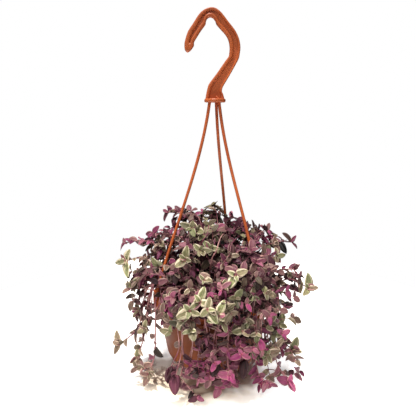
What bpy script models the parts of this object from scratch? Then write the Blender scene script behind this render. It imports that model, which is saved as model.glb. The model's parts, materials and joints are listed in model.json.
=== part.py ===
"""A potted callisia: a plastic hanging pot that stands on its saucer, filled with soil, with its
moulded hanger upright above it and leafy stems that mound over the rim and trail down all round.

Units are metres and +Z is up. The origin is the middle of the saucer's underside, and -Y is the front.
Directions round the pot are azimuths in degrees, from the front (-Y) towards the right (+X).
"""

import math
import random

import bmesh
import bpy
import numpy as np
from mathutils import Vector

MM = 0.001
GAP = 0.3 * MM
MERGE_DISTANCE = 0.001 * MM
AXIS = np.array((0.0, 0.0, 1.0))

# Pot: a thin turned shell with a flat rim flange and a skirt that hangs from its edge.
RIM_RADIUS = 70 * MM
RIM_TOP = 90 * MM
RIM_INNER_RADIUS = 64.4 * MM
SKIRT_DEPTH = 11 * MM
WALL = 1.5 * MM
FOOT_RADIUS = 38.5 * MM
POT_BOTTOM = 1.6 * MM
POT_SEGMENTS = 28
DRAIN_HOLES = 4
DRAIN_RADIUS = 3 * MM
DRAIN_CIRCLE = 24 * MM
# Outer and inner side of the pot's body from under the rim down to the foot: radius, z in millimetres.
BODY_OUTSIDE_MM = ((62, 68), (58.4, 43), (54.6, 21), (50.4, 13.6), (44, 9.8))
BODY_INSIDE_MM = ((49, 15), (53.2, 22), (56.8, 43), (60.4, 68))
FOOT_SHOULDER = 8.6 * MM
FOOT_INSIDE = 10 * MM

# Saucer that the foot of the pot stands in.
SAUCER_RADIUS = 43 * MM
SAUCER_FOOT_RADIUS = 40.5 * MM
SAUCER_HEIGHT = 8 * MM
SAUCER_FLOOR = 1.3 * MM
SAUCER_WALL = 1.3 * MM
SAUCER_BEVEL = 0.6 * MM

# Soil, a little domed, up to a finger's width under the rim.
SOIL_EDGE_Z = 78 * MM
SOIL_CROWN_Z = 83 * MM
SOIL_EDGE_RADIUS = 61.8 * MM
SOIL_SHOULDER_RADIUS = 34 * MM
SOIL_SEGMENTS = 14
# Side of the soil, 0.3 mm inside the pot, from its edge down: radius, z in millimetres.
SOIL_SIDE_MM = ((60.0, 67.8), (56.4, 42.9), (52.7, 22), (48.6, 15.6), (36.5, 10.6))
ROOT_DEPTH = 7 * MM
ROOT_RISE = 4 * MM
ROOT_HOLE_RADIUS = 3 * MM
ROOT_HOLE_SIDES = 3

# Hanger: hook, flange and three straps moulded in one piece, clipped into three slots in the rim.
FLANGE_X = 1.6 * MM
FLANGE_RADIUS = 11.5 * MM
FLANGE_BOTTOM = 306 * MM
FLANGE_THICK = 4 * MM
STRAP_RADIUS = 1.7 * MM
STRAP_TOP_CIRCLE = 5.8 * MM
STRAP_AZIMUTHS = (-74, 46, 166)
STRAP_SWINGS = (-5, 12, -7)
STRAP_STEPS = 13
STRAP_SIDES = 6
CLIP_CIRCLE = 67 * MM
CLIP_WIDTH = 9 * MM
CLIP_THICK = 3.6 * MM
CLIP_HEIGHT = 5 * MM
TONGUE_WIDTH = 6.2 * MM
TONGUE_THICK = 1.2 * MM
TONGUE_DEPTH = 6.5 * MM
BARB_WIDTH = 7.6 * MM
BARB_THICK = 1.4 * MM
BARB_HEIGHT = 2.6 * MM
HOOK_DEPTH = 8 * MM
HOOK_WEB = 2.4 * MM
INNER_BEAD = 3.6 * MM
INNER_BEAD_SHARE = 0.42
SOLID_TIP_STATIONS = 3
BLUNT_TIP = 0.55

# The hook from its tip to the flange: its outer and its inner edge, each as x and z, and how wide the
# bead along the outer edge is, in millimetres. The inner edge has a round saddle under the arch.
HOOK_EDGES_MM = (
    (-28.9, 357.3, -26.4, 357.1, 1.0),
    (-30.3, 359.9, -24.1, 359.7, 2.4),
    (-30.7, 363.9, -20.8, 364.3, 4.2),
    (-30.2, 368.4, -20.6, 367.7, 4.4),
    (-27.0, 377.8, -17.9, 372.3, 4.4),
    (-21.7, 385.7, -12.9, 379.7, 4.2),
    (-17.0, 392.7, -8.7, 385.2, 3.8),
    (-13.6, 396.7, -8.0, 388.3, 3.4),
    (-9.5, 399.7, -6.7, 391.1, 3.1),
    (-4.3, 401.6, -3.6, 392.5, 3.0),
    (0.8, 401.4, -0.7, 391.5, 2.9),
    (5.0, 399.2, 1.6, 388.8, 2.7),
    (9.0, 395.6, 3.0, 385.3, 2.5),
    (15.6, 387.5, 7.5, 380.4, 2.3),
    (21.2, 380.9, 12.1, 375.5, 2.3),
    (24.6, 375.5, 14.7, 371.5, 2.3),
    (27.1, 369.3, 16.2, 367.3, 2.3),
    (28.2, 362.6, 16.9, 362.1, 2.3),
    (27.7, 356.4, 16.6, 356.8, 2.3),
    (26.5, 350.8, 15.7, 353.0, 2.2),
    (22.8, 343.7, 11.6, 347.5, 2.2),
    (16.1, 332.1, 3.6, 336.2, 2.2),
    (10.1, 322.1, -4.6, 325.5, 2.2),
    (9.1, 317.5, -6.4, 320.8, 2.2),
    (10.2, 314.9, -7.7, 315.6, 2.2),
    (12.2, 308.2, -9.0, 308.2, 2.2),
)

# Leafy stems: where each growing tip is, as x, y and z in millimetres. Those of the front and the
# two sides are set one by one, because they give the plant its outline.
TIPS_MM = (
    (-100, 0, 149), (-98, -14, 132), (-88, -22, 106), (-107, -25, 36), (-86, -34, 24),
    (-70, -56, 17), (-54, 33, 178), (-70, 10, 157), (-86, -12, 70), (-44, 42, 176),
    (2, 38, 184), (-12, 56, 172), (-27, 28, 180), (22, 34, 172), (36, 34, 162),
    (91, 10, 147), (90, -14, 122), (108, -15, 99), (96, 14, 88), (72, -38, 66),
    (88, -38, 36), (80, -66, 14), (50, -76, 18), (-4, -84, 30), (-36, -80, 22),
    (16, -90, 36), (28, -86, 58), (-14, -84, 112), (4, -88, 100), (-34, -78, 86),
    (22, -68, 134), (-18, -20, 168), (-29, -50, 145), (-4, -40, 154), (10, -66, 122),
    (-60, -30, 130), (38, -68, 110), (54, -36, 126), (40, -22, 146), (-54, -52, 96),
    (-84, 18, 142), (-52, -4, 158), (66, 20, 150), (72, -8, 134),
)
# The back has no photograph to follow, so its tips stand in rings: azimuth range, count, radius and
# height of the first and the last ring member, in degrees and millimetres.
BACK_RINGS = (
    (112, 252, 5, 104, 96, 46, 30),
    (124, 238, 4, 92, 98, 92, 112),
    (138, 226, 3, 74, 70, 140, 148),
)
# The colour of each stem's leaves, in the order of its tips: Variegated, Magenta or Shaded.
TIP_COLOURS = "MVVVVSSSMSSSSSSSSVSVVSMMSMMVVVVVVVVVVSMSSSSV"
BACK_COLOURS = "SSVM"
SEED = 41
STEM_RADIUS = 1.2 * MM
STEM_PIECES = 7
STEM_SIDES = 3
LEAF_LENGTH = 13.5 * MM
LEAF_WIDTH = 8.8 * MM
LEAF_THICK = 0.7 * MM
LEAF_SINK = 0.15 * MM
LEAF_DROOP = 0.12
LEAF_STATIONS = ((0.24, 0.47, 0.03), (0.64, 0.4, 0.03))
FEWEST_LEAVES = 5
MOST_LEAVES = 9
STEM_PER_LEAF = 13.5 * MM
# Leaves from the tip back: the way to the next one in millimetres, and the size of each.
LEAF_SPACING_MM = (3.2, 6.0, 9.0, 11.5, 13.5, 15.0, 16.0, 17.0, 18.0)
LEAF_SCALES = (0.72, 0.85, 0.95, 1.0, 1.06, 1.06, 1.0, 0.96, 0.92)
ROSETTE_LEAVES = 2
ROSETTE_LEAN = 48
RANK_LEAN = 66
BARE_BASE = 24 * MM
# What a leaf that would meet something tries in turn: a change of lean, a smaller size and a roll.
LEAF_TRIES = (
    (0, 1, 0), (18, 1, 20), (-18, 1, -20), (30, 0.9, -45), (-30, 0.9, 45), (0, 0.8, 70), (40, 0.75, 0),
)
STEM_TRIES = 24
ROOT_FIELD_RADIUS = 50 * MM
# A stem whose tip is lower than this and past the rim goes over the rim's crest and trails down.
TRAILING_TIP_Z = 96 * MM
RIM_REACH = RIM_RADIUS + 4 * MM
RIM_CREST_Z = 101 * MM
RIM_APPROACH = 48 * MM
MOUND_CREST_Z = 108 * MM
FLOOR_CLEARANCE = 1.6 * MM
BLADE_CLEARANCE = 3.3 * MM
STRAP_CLEARANCE = 4.4 * MM
SAMPLE_STEP = 2 * MM

TERRACOTTA = (0.60, 0.16, 0.055, 1)
POT_BROWN = (0.42, 0.14, 0.065, 1)
SOIL_BROWN = (0.035, 0.022, 0.015, 1)
LEAF_COLOURS = {
    "V": ("variegated leaf", (0.24, 0.30, 0.13, 1)),
    "M": ("magenta leaf", (0.30, 0.09, 0.20, 1)),
    "S": ("shaded leaf", (0.20, 0.14, 0.15, 1)),
}


def clear_scene():
    for obj in list(bpy.data.objects):
        bpy.data.objects.remove(obj)


def new_collection(name):
    collection = bpy.data.collections.new(name)
    bpy.context.scene.collection.children.link(collection)
    return collection


def make_material(name, colour, roughness):
    material = bpy.data.materials.new(name)
    material.use_nodes = True
    shader = material.node_tree.nodes["Principled BSDF"]
    shader.inputs["Base Color"].default_value = colour
    shader.inputs["Roughness"].default_value = roughness
    shader.inputs["Metallic"].default_value = 0.0
    return material


def add_mesh_object(name, mesh, collection, material=None):
    obj = bpy.data.objects.new(name, mesh)
    collection.objects.link(obj)
    if material:
        mesh.materials.append(material)
    return obj


def baked(obj, name, collection, material=None):
    """A plain mesh object with obj's evaluated shape, in place of obj."""
    bpy.context.view_layer.update()
    graph = bpy.context.evaluated_depsgraph_get()
    mesh = bpy.data.meshes.new_from_object(obj.evaluated_get(graph))
    mesh.transform(obj.matrix_world)
    bpy.data.objects.remove(obj)
    shape = bmesh.new()
    shape.from_mesh(mesh)
    bmesh.ops.remove_doubles(shape, verts=shape.verts, dist=MERGE_DISTANCE)
    bmesh.ops.recalc_face_normals(shape, faces=shape.faces)
    shape.to_mesh(mesh)
    shape.free()
    mesh.materials.clear()
    return add_mesh_object(name, mesh, collection, material)


def turned(name, profile, segments, collection, material):
    """A closed profile from axis to axis, outer side first and downwards, turned about Z."""
    mesh = bpy.data.meshes.new(name)
    points = [(radius, 0, z) for radius, z in profile]
    mesh.from_pydata(points, [(i, i + 1) for i in range(len(points) - 1)], [])
    obj = add_mesh_object(name, mesh, collection)
    screw = obj.modifiers.new("turn", "SCREW")
    screw.steps = segments
    screw.render_steps = segments
    screw.use_merge_vertices = True
    screw.merge_threshold = MERGE_DISTANCE
    obj = baked(obj, name, collection, material)
    obj.data.shade_smooth()
    obj.data.set_sharp_from_angle(angle=math.radians(35))
    return obj


def tube(name, points, radii, sides, collection, material=None):
    """A poly curve through the points with a regular many-sided section, made a closed mesh."""
    section = bpy.data.curves.new(name + "_section", "CURVE")
    outline = section.splines.new("POLY")
    outline.points.add(sides - 1)
    outline.use_cyclic_u = True
    for index, point in enumerate(outline.points):
        angle = 2 * math.pi * index / sides
        point.co = (math.cos(angle), math.sin(angle), 0, 1)
    section_obj = bpy.data.objects.new(name + "_section", section)
    curve = bpy.data.curves.new(name, "CURVE")
    curve.dimensions = "3D"
    curve.bevel_mode = "OBJECT"
    curve.bevel_object = section_obj
    curve.use_fill_caps = True
    spline = curve.splines.new("POLY")
    spline.points.add(len(points) - 1)
    for point, place, radius in zip(spline.points, points, radii):
        point.co = (*place, 1)
        point.radius = radius
    obj = bpy.data.objects.new(name + "_line", curve)
    collection.objects.link(obj)
    solid = baked(obj, name, collection, material)
    bpy.data.objects.remove(section_obj)
    return solid


def block(name, size, place, azimuth, collection):
    """A box of this size, turned so that its Y side faces outwards at the azimuth."""
    mesh = bpy.data.meshes.new(name)
    shape = bmesh.new()
    bmesh.ops.create_cube(shape, size=1)
    bmesh.ops.scale(shape, vec=size, verts=shape.verts)
    shape.to_mesh(mesh)
    shape.free()
    obj = add_mesh_object(name, mesh, collection)
    obj.location = place
    obj.rotation_euler.z = math.radians(azimuth)
    return obj


def disc(name, radius, depth, place, sides, collection):
    mesh = bpy.data.meshes.new(name)
    shape = bmesh.new()
    bmesh.ops.create_cone(
        shape, cap_ends=True, segments=sides, radius1=radius, radius2=radius, depth=depth
    )
    shape.to_mesh(mesh)
    shape.free()
    obj = add_mesh_object(name, mesh, collection)
    obj.location = place
    return obj


def combine(obj, others, operation, solver="EXACT"):
    """Applies one Boolean of a collection to obj, and removes the collection's objects."""
    name = obj.name
    home = obj.users_collection[0]
    material = obj.data.materials[0] if obj.data.materials else None
    boolean = obj.modifiers.new("join", "BOOLEAN")
    boolean.operation = operation
    boolean.solver = solver
    boolean.operand_type = "COLLECTION"
    boolean.collection = others
    obj.name = name + "_blank"
    result = baked(obj, name, home, material)
    for other in list(others.objects):
        bpy.data.objects.remove(other)
    bpy.data.collections.remove(others)
    return result


def round_point(radius, azimuth, z):
    angle = math.radians(azimuth)
    return np.array((radius * math.sin(angle), -radius * math.cos(angle), z))


def strap_centre(azimuth, swing, along):
    """Where a strap's axis is, from 0 at the flange to 1 at its clip.

    It leaves the flange steeply and then runs out straight: a cubic with a shallow first slope.
    The strap is flexible, so it swings a few degrees sideways on its way.
    """
    first_slope = 0.45
    last_slope = 1.0
    out = 3 * along**2 - 2 * along**3
    out += first_slope * (along**3 - 2 * along**2 + along)
    out += last_slope * (along**3 - along**2)
    radius = STRAP_TOP_CIRCLE + (CLIP_CIRCLE - STRAP_TOP_CIRCLE) * out
    top = FLANGE_BOTTOM + FLANGE_THICK / 2
    bottom = RIM_TOP + GAP + CLIP_HEIGHT / 2
    centre = round_point(radius, azimuth + 4 * swing * along * (1 - along), top + (bottom - top) * along)
    centre[0] += FLANGE_X * (1 - out)
    return centre


def strap_line(azimuth, swing, count):
    return np.array([strap_centre(azimuth, swing, step / (count - 1)) for step in range(count)])


def smooth_line(points, count):
    """Points evenly spaced along a Catmull-Rom curve through the given points."""
    points = np.asarray(points, float)
    padded = np.vstack((2 * points[0] - points[1], points, 2 * points[-1] - points[-2]))
    fine = []
    for before, start, end, after in zip(padded, padded[1:], padded[2:], padded[3:]):
        t = np.linspace(0, 1, 16, endpoint=False)[:, None]
        fine.append(
            0.5
            * (
                2 * start
                + (end - before) * t
                + (2 * before - 5 * start + 4 * end - after) * t**2
                + (3 * start - before - 3 * end + after) * t**3
            )
        )
    fine = np.vstack(fine + [points[-1:]])
    return points_at(fine, np.linspace(0, distances_along(fine)[-1], count))


def distances_along(points):
    return np.concatenate(([0], np.cumsum(np.linalg.norm(np.diff(points, axis=0), axis=1))))


def points_at(points, distances):
    """Places on a broken line at these distances from its start."""
    along = distances_along(points)
    return np.stack([np.interp(distances, along, points[:, axis]) for axis in range(3)], axis=-1)


def points_along(points, step):
    total = distances_along(points)[-1]
    return points_at(points, np.linspace(0, total, max(2, int(total / step) + 1)))


def unit(vector):
    return vector / max(float(np.linalg.norm(vector)), 1e-9)


def soil_height(radius):
    return SOIL_CROWN_Z - (SOIL_CROWN_Z - SOIL_EDGE_Z) * (radius / RIM_INNER_RADIUS) ** 2


def clear_of_pot(points):
    """True if no point is in the pot, its rim, its saucer or the soil, with a little room."""
    radius = np.hypot(points[:, 0], points[:, 1])
    z = points[:, 2]
    radii, heights = np.array(BODY_OUTSIDE_MM[::-1]).T * MM
    body = np.interp(z, heights, radii)
    room = 2 * MM
    shell = np.where(z > RIM_TOP - SKIRT_DEPTH - room, RIM_RADIUS, body) + room
    outside = radius > shell
    above = z > RIM_TOP + room
    inside = (radius < RIM_INNER_RADIUS - room - WALL / 2) & (z > soil_height(radius) + room)
    return bool((outside | above | inside).all())


def tips():
    """Every stem's growing tip, in metres: the set ones, then the rings at the back."""
    places = [np.array(tip) * MM for tip in TIPS_MM]
    for first, last, count, near, far, low, high in BACK_RINGS:
        for step in range(count):
            share = step / (count - 1)
            wave = math.sin(2.4 * step + first)
            places.append(
                round_point(
                    (near + (far - near) * share + 5 * wave) * MM,
                    first + (last - first) * share,
                    (low + (high - low) * share - 9 * wave) * MM,
                )
            )
    return places


def roots_for(places):
    """A root in the soil for each tip: a sunflower pattern, each tip taking the nearest free spot."""
    count = len(places)
    spots = []
    for index in range(count):
        radius = ROOT_FIELD_RADIUS * math.sqrt((index + 0.5) / count)
        spots.append(round_point(radius, index * 137.508, soil_height(radius)))
    order = sorted(range(count), key=lambda index: places[index][2])
    chosen = [None] * count
    for index in order:
        tip = places[index]
        reach = math.hypot(tip[0], tip[1])
        share = min(0.62, ROOT_FIELD_RADIUS / max(reach, MM))
        wish = np.array((tip[0] * share, tip[1] * share))
        best = min(range(len(spots)), key=lambda spot: float(np.hypot(*(spots[spot][:2] - wish))))
        chosen[index] = spots.pop(best)
    return chosen


def stem_route(root, tip, rng, attempt):
    """A stem's line from its root up over the rim, or up through the mound, to its tip.

    The shares below say how far along its way each bend is; elbow, lift and wander vary them.
    """
    reach = math.hypot(tip[0], tip[1])
    out = unit(np.array((tip[0], tip[1], 0.0)))
    side = np.cross(AXIS, out)
    wander = side * (rng.uniform(-9, 9) + attempt * rng.uniform(-4, 4)) * MM
    lift = (rng.uniform(0, 9) + 1.6 * attempt) * MM
    elbow = rng.uniform(0, 1)
    if tip[2] < TRAILING_TIP_Z and reach > RIM_REACH:
        # Past the rim it hangs down for most of its drop, and then turns outwards to its tip.
        crest = RIM_CREST_Z + lift
        drop = crest - tip[2]
        spread = reach - RIM_REACH
        upper = RIM_REACH + (0.40 - 0.16 * elbow) * spread
        lower = RIM_REACH + (0.66 - 0.16 * elbow) * spread
        middle = (
            out * RIM_APPROACH + wander + AXIS * (crest - 9 * MM),
            out * RIM_REACH + wander + AXIS * (crest + 2 * MM),
            out * upper + wander * 0.2 + AXIS * (crest - (0.42 + 0.12 * elbow) * drop),
            out * lower - wander * 0.5 + AXIS * (tip[2] + (0.16 - 0.10 * elbow) * drop),
        )
    else:
        crest = max(tip[2] - 4 * MM, MOUND_CREST_Z) + 0.4 * lift
        flat_root = np.array((root[0], root[1], 0.0))
        flat_tip = np.array((tip[0], tip[1], 0.0))
        first = flat_root + (flat_tip - flat_root) * 0.22 + wander
        second = flat_root + (flat_tip - flat_root) * 0.66 + wander * 0.6
        middle = (
            first + AXIS * (root[2] + 0.6 * (crest - root[2])),
            second + AXIS * crest,
        )
    start = root + AXIS * ROOT_RISE
    above = smooth_line((start, *middle, tip), STEM_PIECES)
    return np.vstack((root - AXIS * ROOT_DEPTH, above))


def leaf_frame(place, along, facing, side, lean, twist):
    """The leaf's axes: along its rib, across it and out of its upper face."""
    across_stem = unit(np.cross(along, facing)) * side
    rib = unit(along * math.cos(lean) + across_stem * math.sin(lean) + facing * 0.18)
    face = unit(facing - rib * float(np.dot(facing, rib)))
    across = np.cross(face, rib)
    face = unit(face * math.cos(twist) + across * math.sin(twist))
    return place, rib, np.cross(face, rib), face


def leaf_samples(frame, length, width):
    """Points spread over a blade, for clearance tests."""
    place, rib, across, _ = frame
    u = np.array((0.12, 0.3, 0.48, 0.66, 0.84, 1.0))
    half = np.array((0.33, 0.48, 0.47, 0.38, 0.22, 0.0)) * width
    v = np.array((-1, -1 / 3, 1 / 3, 1))
    grid = place + (u * length)[:, None, None] * rib + (half[:, None] * v)[:, :, None] * across
    return grid.reshape(-1, 3)


HANGER_OWNER = -1


class Thicket:
    """What already grows, as sample points in clumps, so that a new piece can keep clear of it."""

    def __init__(self):
        self.clumps = []
        self.middles = []
        self.reaches = []

    def add(self, owner, points):
        middle = points.mean(axis=0)
        self.clumps.append((owner, points))
        self.middles.append(middle)
        self.reaches.append(float(np.linalg.norm(points - middle, axis=1).max()))

    def is_clear(self, owner, points, clearance):
        if not self.clumps:
            return True
        middle = points.mean(axis=0)
        reach = float(np.linalg.norm(points - middle, axis=1).max())
        away = np.linalg.norm(np.array(self.middles) - middle, axis=1)
        near = np.nonzero(away < np.array(self.reaches) + reach + clearance)[0]
        for index in near:
            other, cloud = self.clumps[index]
            if other == owner:
                continue
            room = STRAP_CLEARANCE if other == HANGER_OWNER else clearance
            gaps = np.linalg.norm(points[:, None] - cloud[None], axis=2)
            if gaps.min() < room:
                return False
        return True


def chunks(points, size=8):
    return [points[first : first + size + 1] for first in range(0, len(points) - 1, size)]


def plan_stems():
    """Every leafy stem as its line and its leaves, each clear of the pot, the straps and the rest."""
    thicket = Thicket()
    for azimuth, swing in zip(STRAP_AZIMUTHS, STRAP_SWINGS):
        for piece in chunks(points_along(strap_line(azimuth, swing, 3 * STRAP_STEPS), SAMPLE_STEP)):
            thicket.add(HANGER_OWNER, piece)
        clip_ends = [round_point(radius, azimuth, RIM_TOP + CLIP_HEIGHT / 2)
                     for radius in (CLIP_CIRCLE - 3 * MM, CLIP_CIRCLE + 3 * MM)]
        thicket.add(HANGER_OWNER, points_along(np.array(clip_ends), SAMPLE_STEP))
    places = tips()
    roots = roots_for(places)
    stems = []
    for number, (tip, root) in enumerate(zip(places, roots)):
        rng = random.Random(SEED * 1000 + number)
        for attempt in range(STEM_TRIES):
            line = stem_route(root, tip, rng, attempt)
            samples = points_along(line, SAMPLE_STEP)
            open_part = samples[samples[:, 2] > root[2] + ROOT_RISE]
            if clear_of_pot(open_part) and thicket.is_clear(number, samples, BLADE_CLEARANCE):
                break
        else:
            continue
        for piece in chunks(samples):
            thicket.add(number, piece)
        stems.append({"number": number, "line": line, "root": root, "rng": rng, "leaves": []})
    for stem in stems:
        grow_leaves(stem, thicket)
    return stems


def grow_leaves(stem, thicket):
    """Leaves from the tip back: a small rosette, then two ranks with ever longer internodes."""
    line = stem["line"]
    rng = stem["rng"]
    total = distances_along(line)[-1]
    back = 0.4 * MM
    turn = rng.uniform(0, 360)
    wanted = max(FEWEST_LEAVES, min(MOST_LEAVES, int(total / STEM_PER_LEAF)))
    for order in range(wanted):
        here = total - back
        back += LEAF_SPACING_MM[order] * MM * rng.uniform(0.92, 1.1)
        if here < BARE_BASE:
            break
        behind, place = points_at(line, (here - 3 * MM, here))
        along = unit(place - behind)
        outward = unit(np.array((place[0], place[1], 0.0)) + 1e-6)
        facing = AXIS * 0.9 + outward * 0.55
        facing = unit(facing - along * float(np.dot(facing, along)))
        sideways = np.cross(along, facing)
        in_rosette = order < ROSETTE_LEAVES
        side = 1 if order % 2 else -1
        if in_rosette:
            angle = math.radians(turn + order * 120)
            facing = unit(facing * math.cos(angle) + sideways * math.sin(angle))
        scale = LEAF_SCALES[order] * rng.uniform(0.88, 1.1)
        lean = math.radians((ROSETTE_LEAN if in_rosette else RANK_LEAN) + rng.uniform(-10, 10))
        twist = math.radians(rng.uniform(-20, 20))
        for change, shrink, roll in LEAF_TRIES:
            size = scale * shrink
            frame = leaf_frame(
                place, along, facing, side, lean + math.radians(change), twist + math.radians(roll)
            )
            samples = leaf_samples(frame, LEAF_LENGTH * size, LEAF_WIDTH * size)
            if samples[:, 2].min() < FLOOR_CLEARANCE:
                continue
            if clear_of_pot(samples) and thicket.is_clear(stem["number"], samples, BLADE_CLEARANCE):
                thicket.add(stem["number"], samples)
                stem["leaves"].append((frame, size))
                break


def leaf_mesh(name, frame, size):
    """An ovate slab that arches along its rib, drawn to a point at its base and at its tip."""
    place, rib, across, face = frame
    length = LEAF_LENGTH * size
    width = LEAF_WIDTH * size
    base = place - rib * LEAF_SINK
    tip = place + rib * length - face * (LEAF_DROOP * length)
    corners = []
    for share, half_width, rise in LEAF_STATIONS:
        middle = place + rib * (length * share) + face * (length * rise)
        for side, level in ((1, 1), (-1, 1), (-1, -1), (1, -1)):
            corners.append(middle + across * (side * half_width * width) + face * (level * LEAF_THICK / 2))
    faces = []
    for corner in range(4):
        after = (corner + 1) % 4
        faces.append((0, 2 + after, 2 + corner))
        faces.append((2 + corner, 2 + after, 6 + after, 6 + corner))
        faces.append((1, 6 + corner, 6 + after))
    mesh = bpy.data.meshes.new(name)
    mesh.from_pydata([Vector(point) for point in (base, tip, *corners)], [], faces)
    shape = bmesh.new()
    shape.from_mesh(mesh)
    bmesh.ops.recalc_face_normals(shape, faces=shape.faces)
    shape.to_mesh(mesh)
    shape.free()
    return mesh


def stem_colour(number):
    """The letter of a stem's leaf colour: its own in the front, one of a row in turn at the back."""
    if number < len(TIP_COLOURS):
        return TIP_COLOURS[number]
    return BACK_COLOURS[number % len(BACK_COLOURS)]


def make_leafy_stem(stem, index, collection, material):
    name = f"leafy_stem_{index:02d}"
    line = stem["line"]
    radii = np.linspace(STEM_RADIUS, STEM_RADIUS * 0.8, len(line))
    stalk = tube(name, line, radii, STEM_SIDES, collection, material)
    blades = new_collection(name + "_blades")
    for number, (frame, size) in enumerate(stem["leaves"]):
        blade_name = f"{name}_blade_{number}"
        add_mesh_object(blade_name, leaf_mesh(blade_name, frame, size), blades)
    return combine(stalk, blades, "UNION", "MANIFOLD")


def scaled(rows_mm):
    return [tuple(value * MM for value in row) for row in rows_mm]


def make_pot(collection, material):
    top = RIM_TOP
    skirt_end = top - SKIRT_DEPTH
    skirt_inside = RIM_RADIUS - WALL
    wall_outside = RIM_INNER_RADIUS + WALL
    floor = POT_BOTTOM + WALL
    outside = [
        (RIM_RADIUS, top), (RIM_RADIUS, skirt_end), (skirt_inside, skirt_end), (skirt_inside, top - WALL),
        (wall_outside, top - WALL), *scaled(BODY_OUTSIDE_MM), (FOOT_RADIUS, FOOT_SHOULDER),
        (FOOT_RADIUS, POT_BOTTOM), (0, POT_BOTTOM),
    ]
    inside = [
        (0, floor), (FOOT_RADIUS - WALL, floor), (FOOT_RADIUS - WALL, FOOT_INSIDE),
        *scaled(BODY_INSIDE_MM), (RIM_INNER_RADIUS, top), (RIM_RADIUS, top),
    ]
    pot = turned("pot", outside + inside, POT_SEGMENTS, collection, material)
    cuts = new_collection("pot_cuts")
    for index in range(DRAIN_HOLES):
        place = round_point(DRAIN_CIRCLE, 45 + index * 360 / DRAIN_HOLES, POT_BOTTOM + WALL / 2)
        disc(f"drain_{index}", DRAIN_RADIUS, 4 * WALL, place, 8, cuts)
    slot = (TONGUE_WIDTH + 2 * GAP, TONGUE_THICK + 2 * GAP, 4 * WALL)
    for index, azimuth in enumerate(STRAP_AZIMUTHS):
        place = round_point(CLIP_CIRCLE, azimuth, top - WALL / 2)
        block(f"slot_{index}", slot, place, azimuth, cuts)
    return combine(pot, cuts, "DIFFERENCE")


def make_saucer(collection, material):
    profile = [
        (SAUCER_RADIUS, SAUCER_HEIGHT), (SAUCER_FOOT_RADIUS, SAUCER_BEVEL),
        (SAUCER_FOOT_RADIUS - SAUCER_BEVEL, 0), (0, 0), (0, SAUCER_FLOOR),
        (SAUCER_FOOT_RADIUS - SAUCER_WALL, SAUCER_FLOOR), (SAUCER_RADIUS - SAUCER_WALL, SAUCER_HEIGHT),
        (SAUCER_RADIUS, SAUCER_HEIGHT),
    ]
    return turned("saucer", profile, POT_SEGMENTS, collection, material)


def make_soil(stems, collection, material):
    side = scaled(SOIL_SIDE_MM)
    bottom = POT_BOTTOM + WALL + GAP
    profile = [
        (0, SOIL_CROWN_Z), (SOIL_SHOULDER_RADIUS, soil_height(SOIL_SHOULDER_RADIUS)),
        (SOIL_EDGE_RADIUS, SOIL_EDGE_Z), *side, (side[-1][0], bottom), (0, bottom),
    ]
    soil = turned("soil", profile, SOIL_SEGMENTS, collection, material)
    holes = new_collection("root_holes")
    for index, stem in enumerate(stems):
        depth = 2 * (ROOT_DEPTH + 1 * MM)
        disc(f"root_hole_{index}", ROOT_HOLE_RADIUS, depth, stem["root"], ROOT_HOLE_SIDES, holes)
    return combine(soil, holes, "DIFFERENCE")


def hook_section(half, outer_bead, deep, web):
    """An H lying on its side: the outer bead at +half, the inner bead at -half and the web between."""
    inner_bead = min(INNER_BEAD, INNER_BEAD_SHARE * 2 * half)
    outer = half - outer_bead
    inner = inner_bead - half
    return (
        (half, deep), (half, -deep), (outer, -deep), (outer, -web), (inner, -web), (inner, -deep),
        (-half, -deep), (-half, deep), (inner, deep), (inner, web), (outer, web), (outer, deep),
    )


def make_hook(collection):
    """A loft of H-shaped sections between the two edges, solid and a little thinner at the tip."""
    edges = np.array(HOOK_EDGES_MM) * MM
    shape = bmesh.new()
    rings = []
    for index, (outer_x, outer_z, inner_x, inner_z, outer_bead) in enumerate(edges):
        outer_edge = np.array((outer_x, 0, outer_z))
        inner_edge = np.array((inner_x, 0, inner_z))
        centre = (outer_edge + inner_edge) / 2
        across = unit(outer_edge - inner_edge)
        half = float(np.linalg.norm(outer_edge - inner_edge)) / 2
        deep = HOOK_DEPTH / 2 * (BLUNT_TIP if index == 0 else 1)
        web = deep if index < SOLID_TIP_STATIONS else HOOK_WEB / 2
        section = hook_section(half, outer_bead, deep, web)
        rings.append([shape.verts.new(centre + across * step + np.array((0, y, 0))) for step, y in section])
    for ring, following in zip(rings, rings[1:]):
        for corner in range(len(ring)):
            after = (corner + 1) % len(ring)
            shape.faces.new((ring[corner], ring[after], following[after], following[corner]))
    shape.faces.new(rings[0])
    shape.faces.new(rings[-1][::-1])
    bmesh.ops.remove_doubles(shape, verts=shape.verts, dist=MERGE_DISTANCE)
    bmesh.ops.recalc_face_normals(shape, faces=shape.faces)
    mesh = bpy.data.meshes.new("hook")
    shape.to_mesh(mesh)
    shape.free()
    return add_mesh_object("hanger", mesh, collection)


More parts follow.
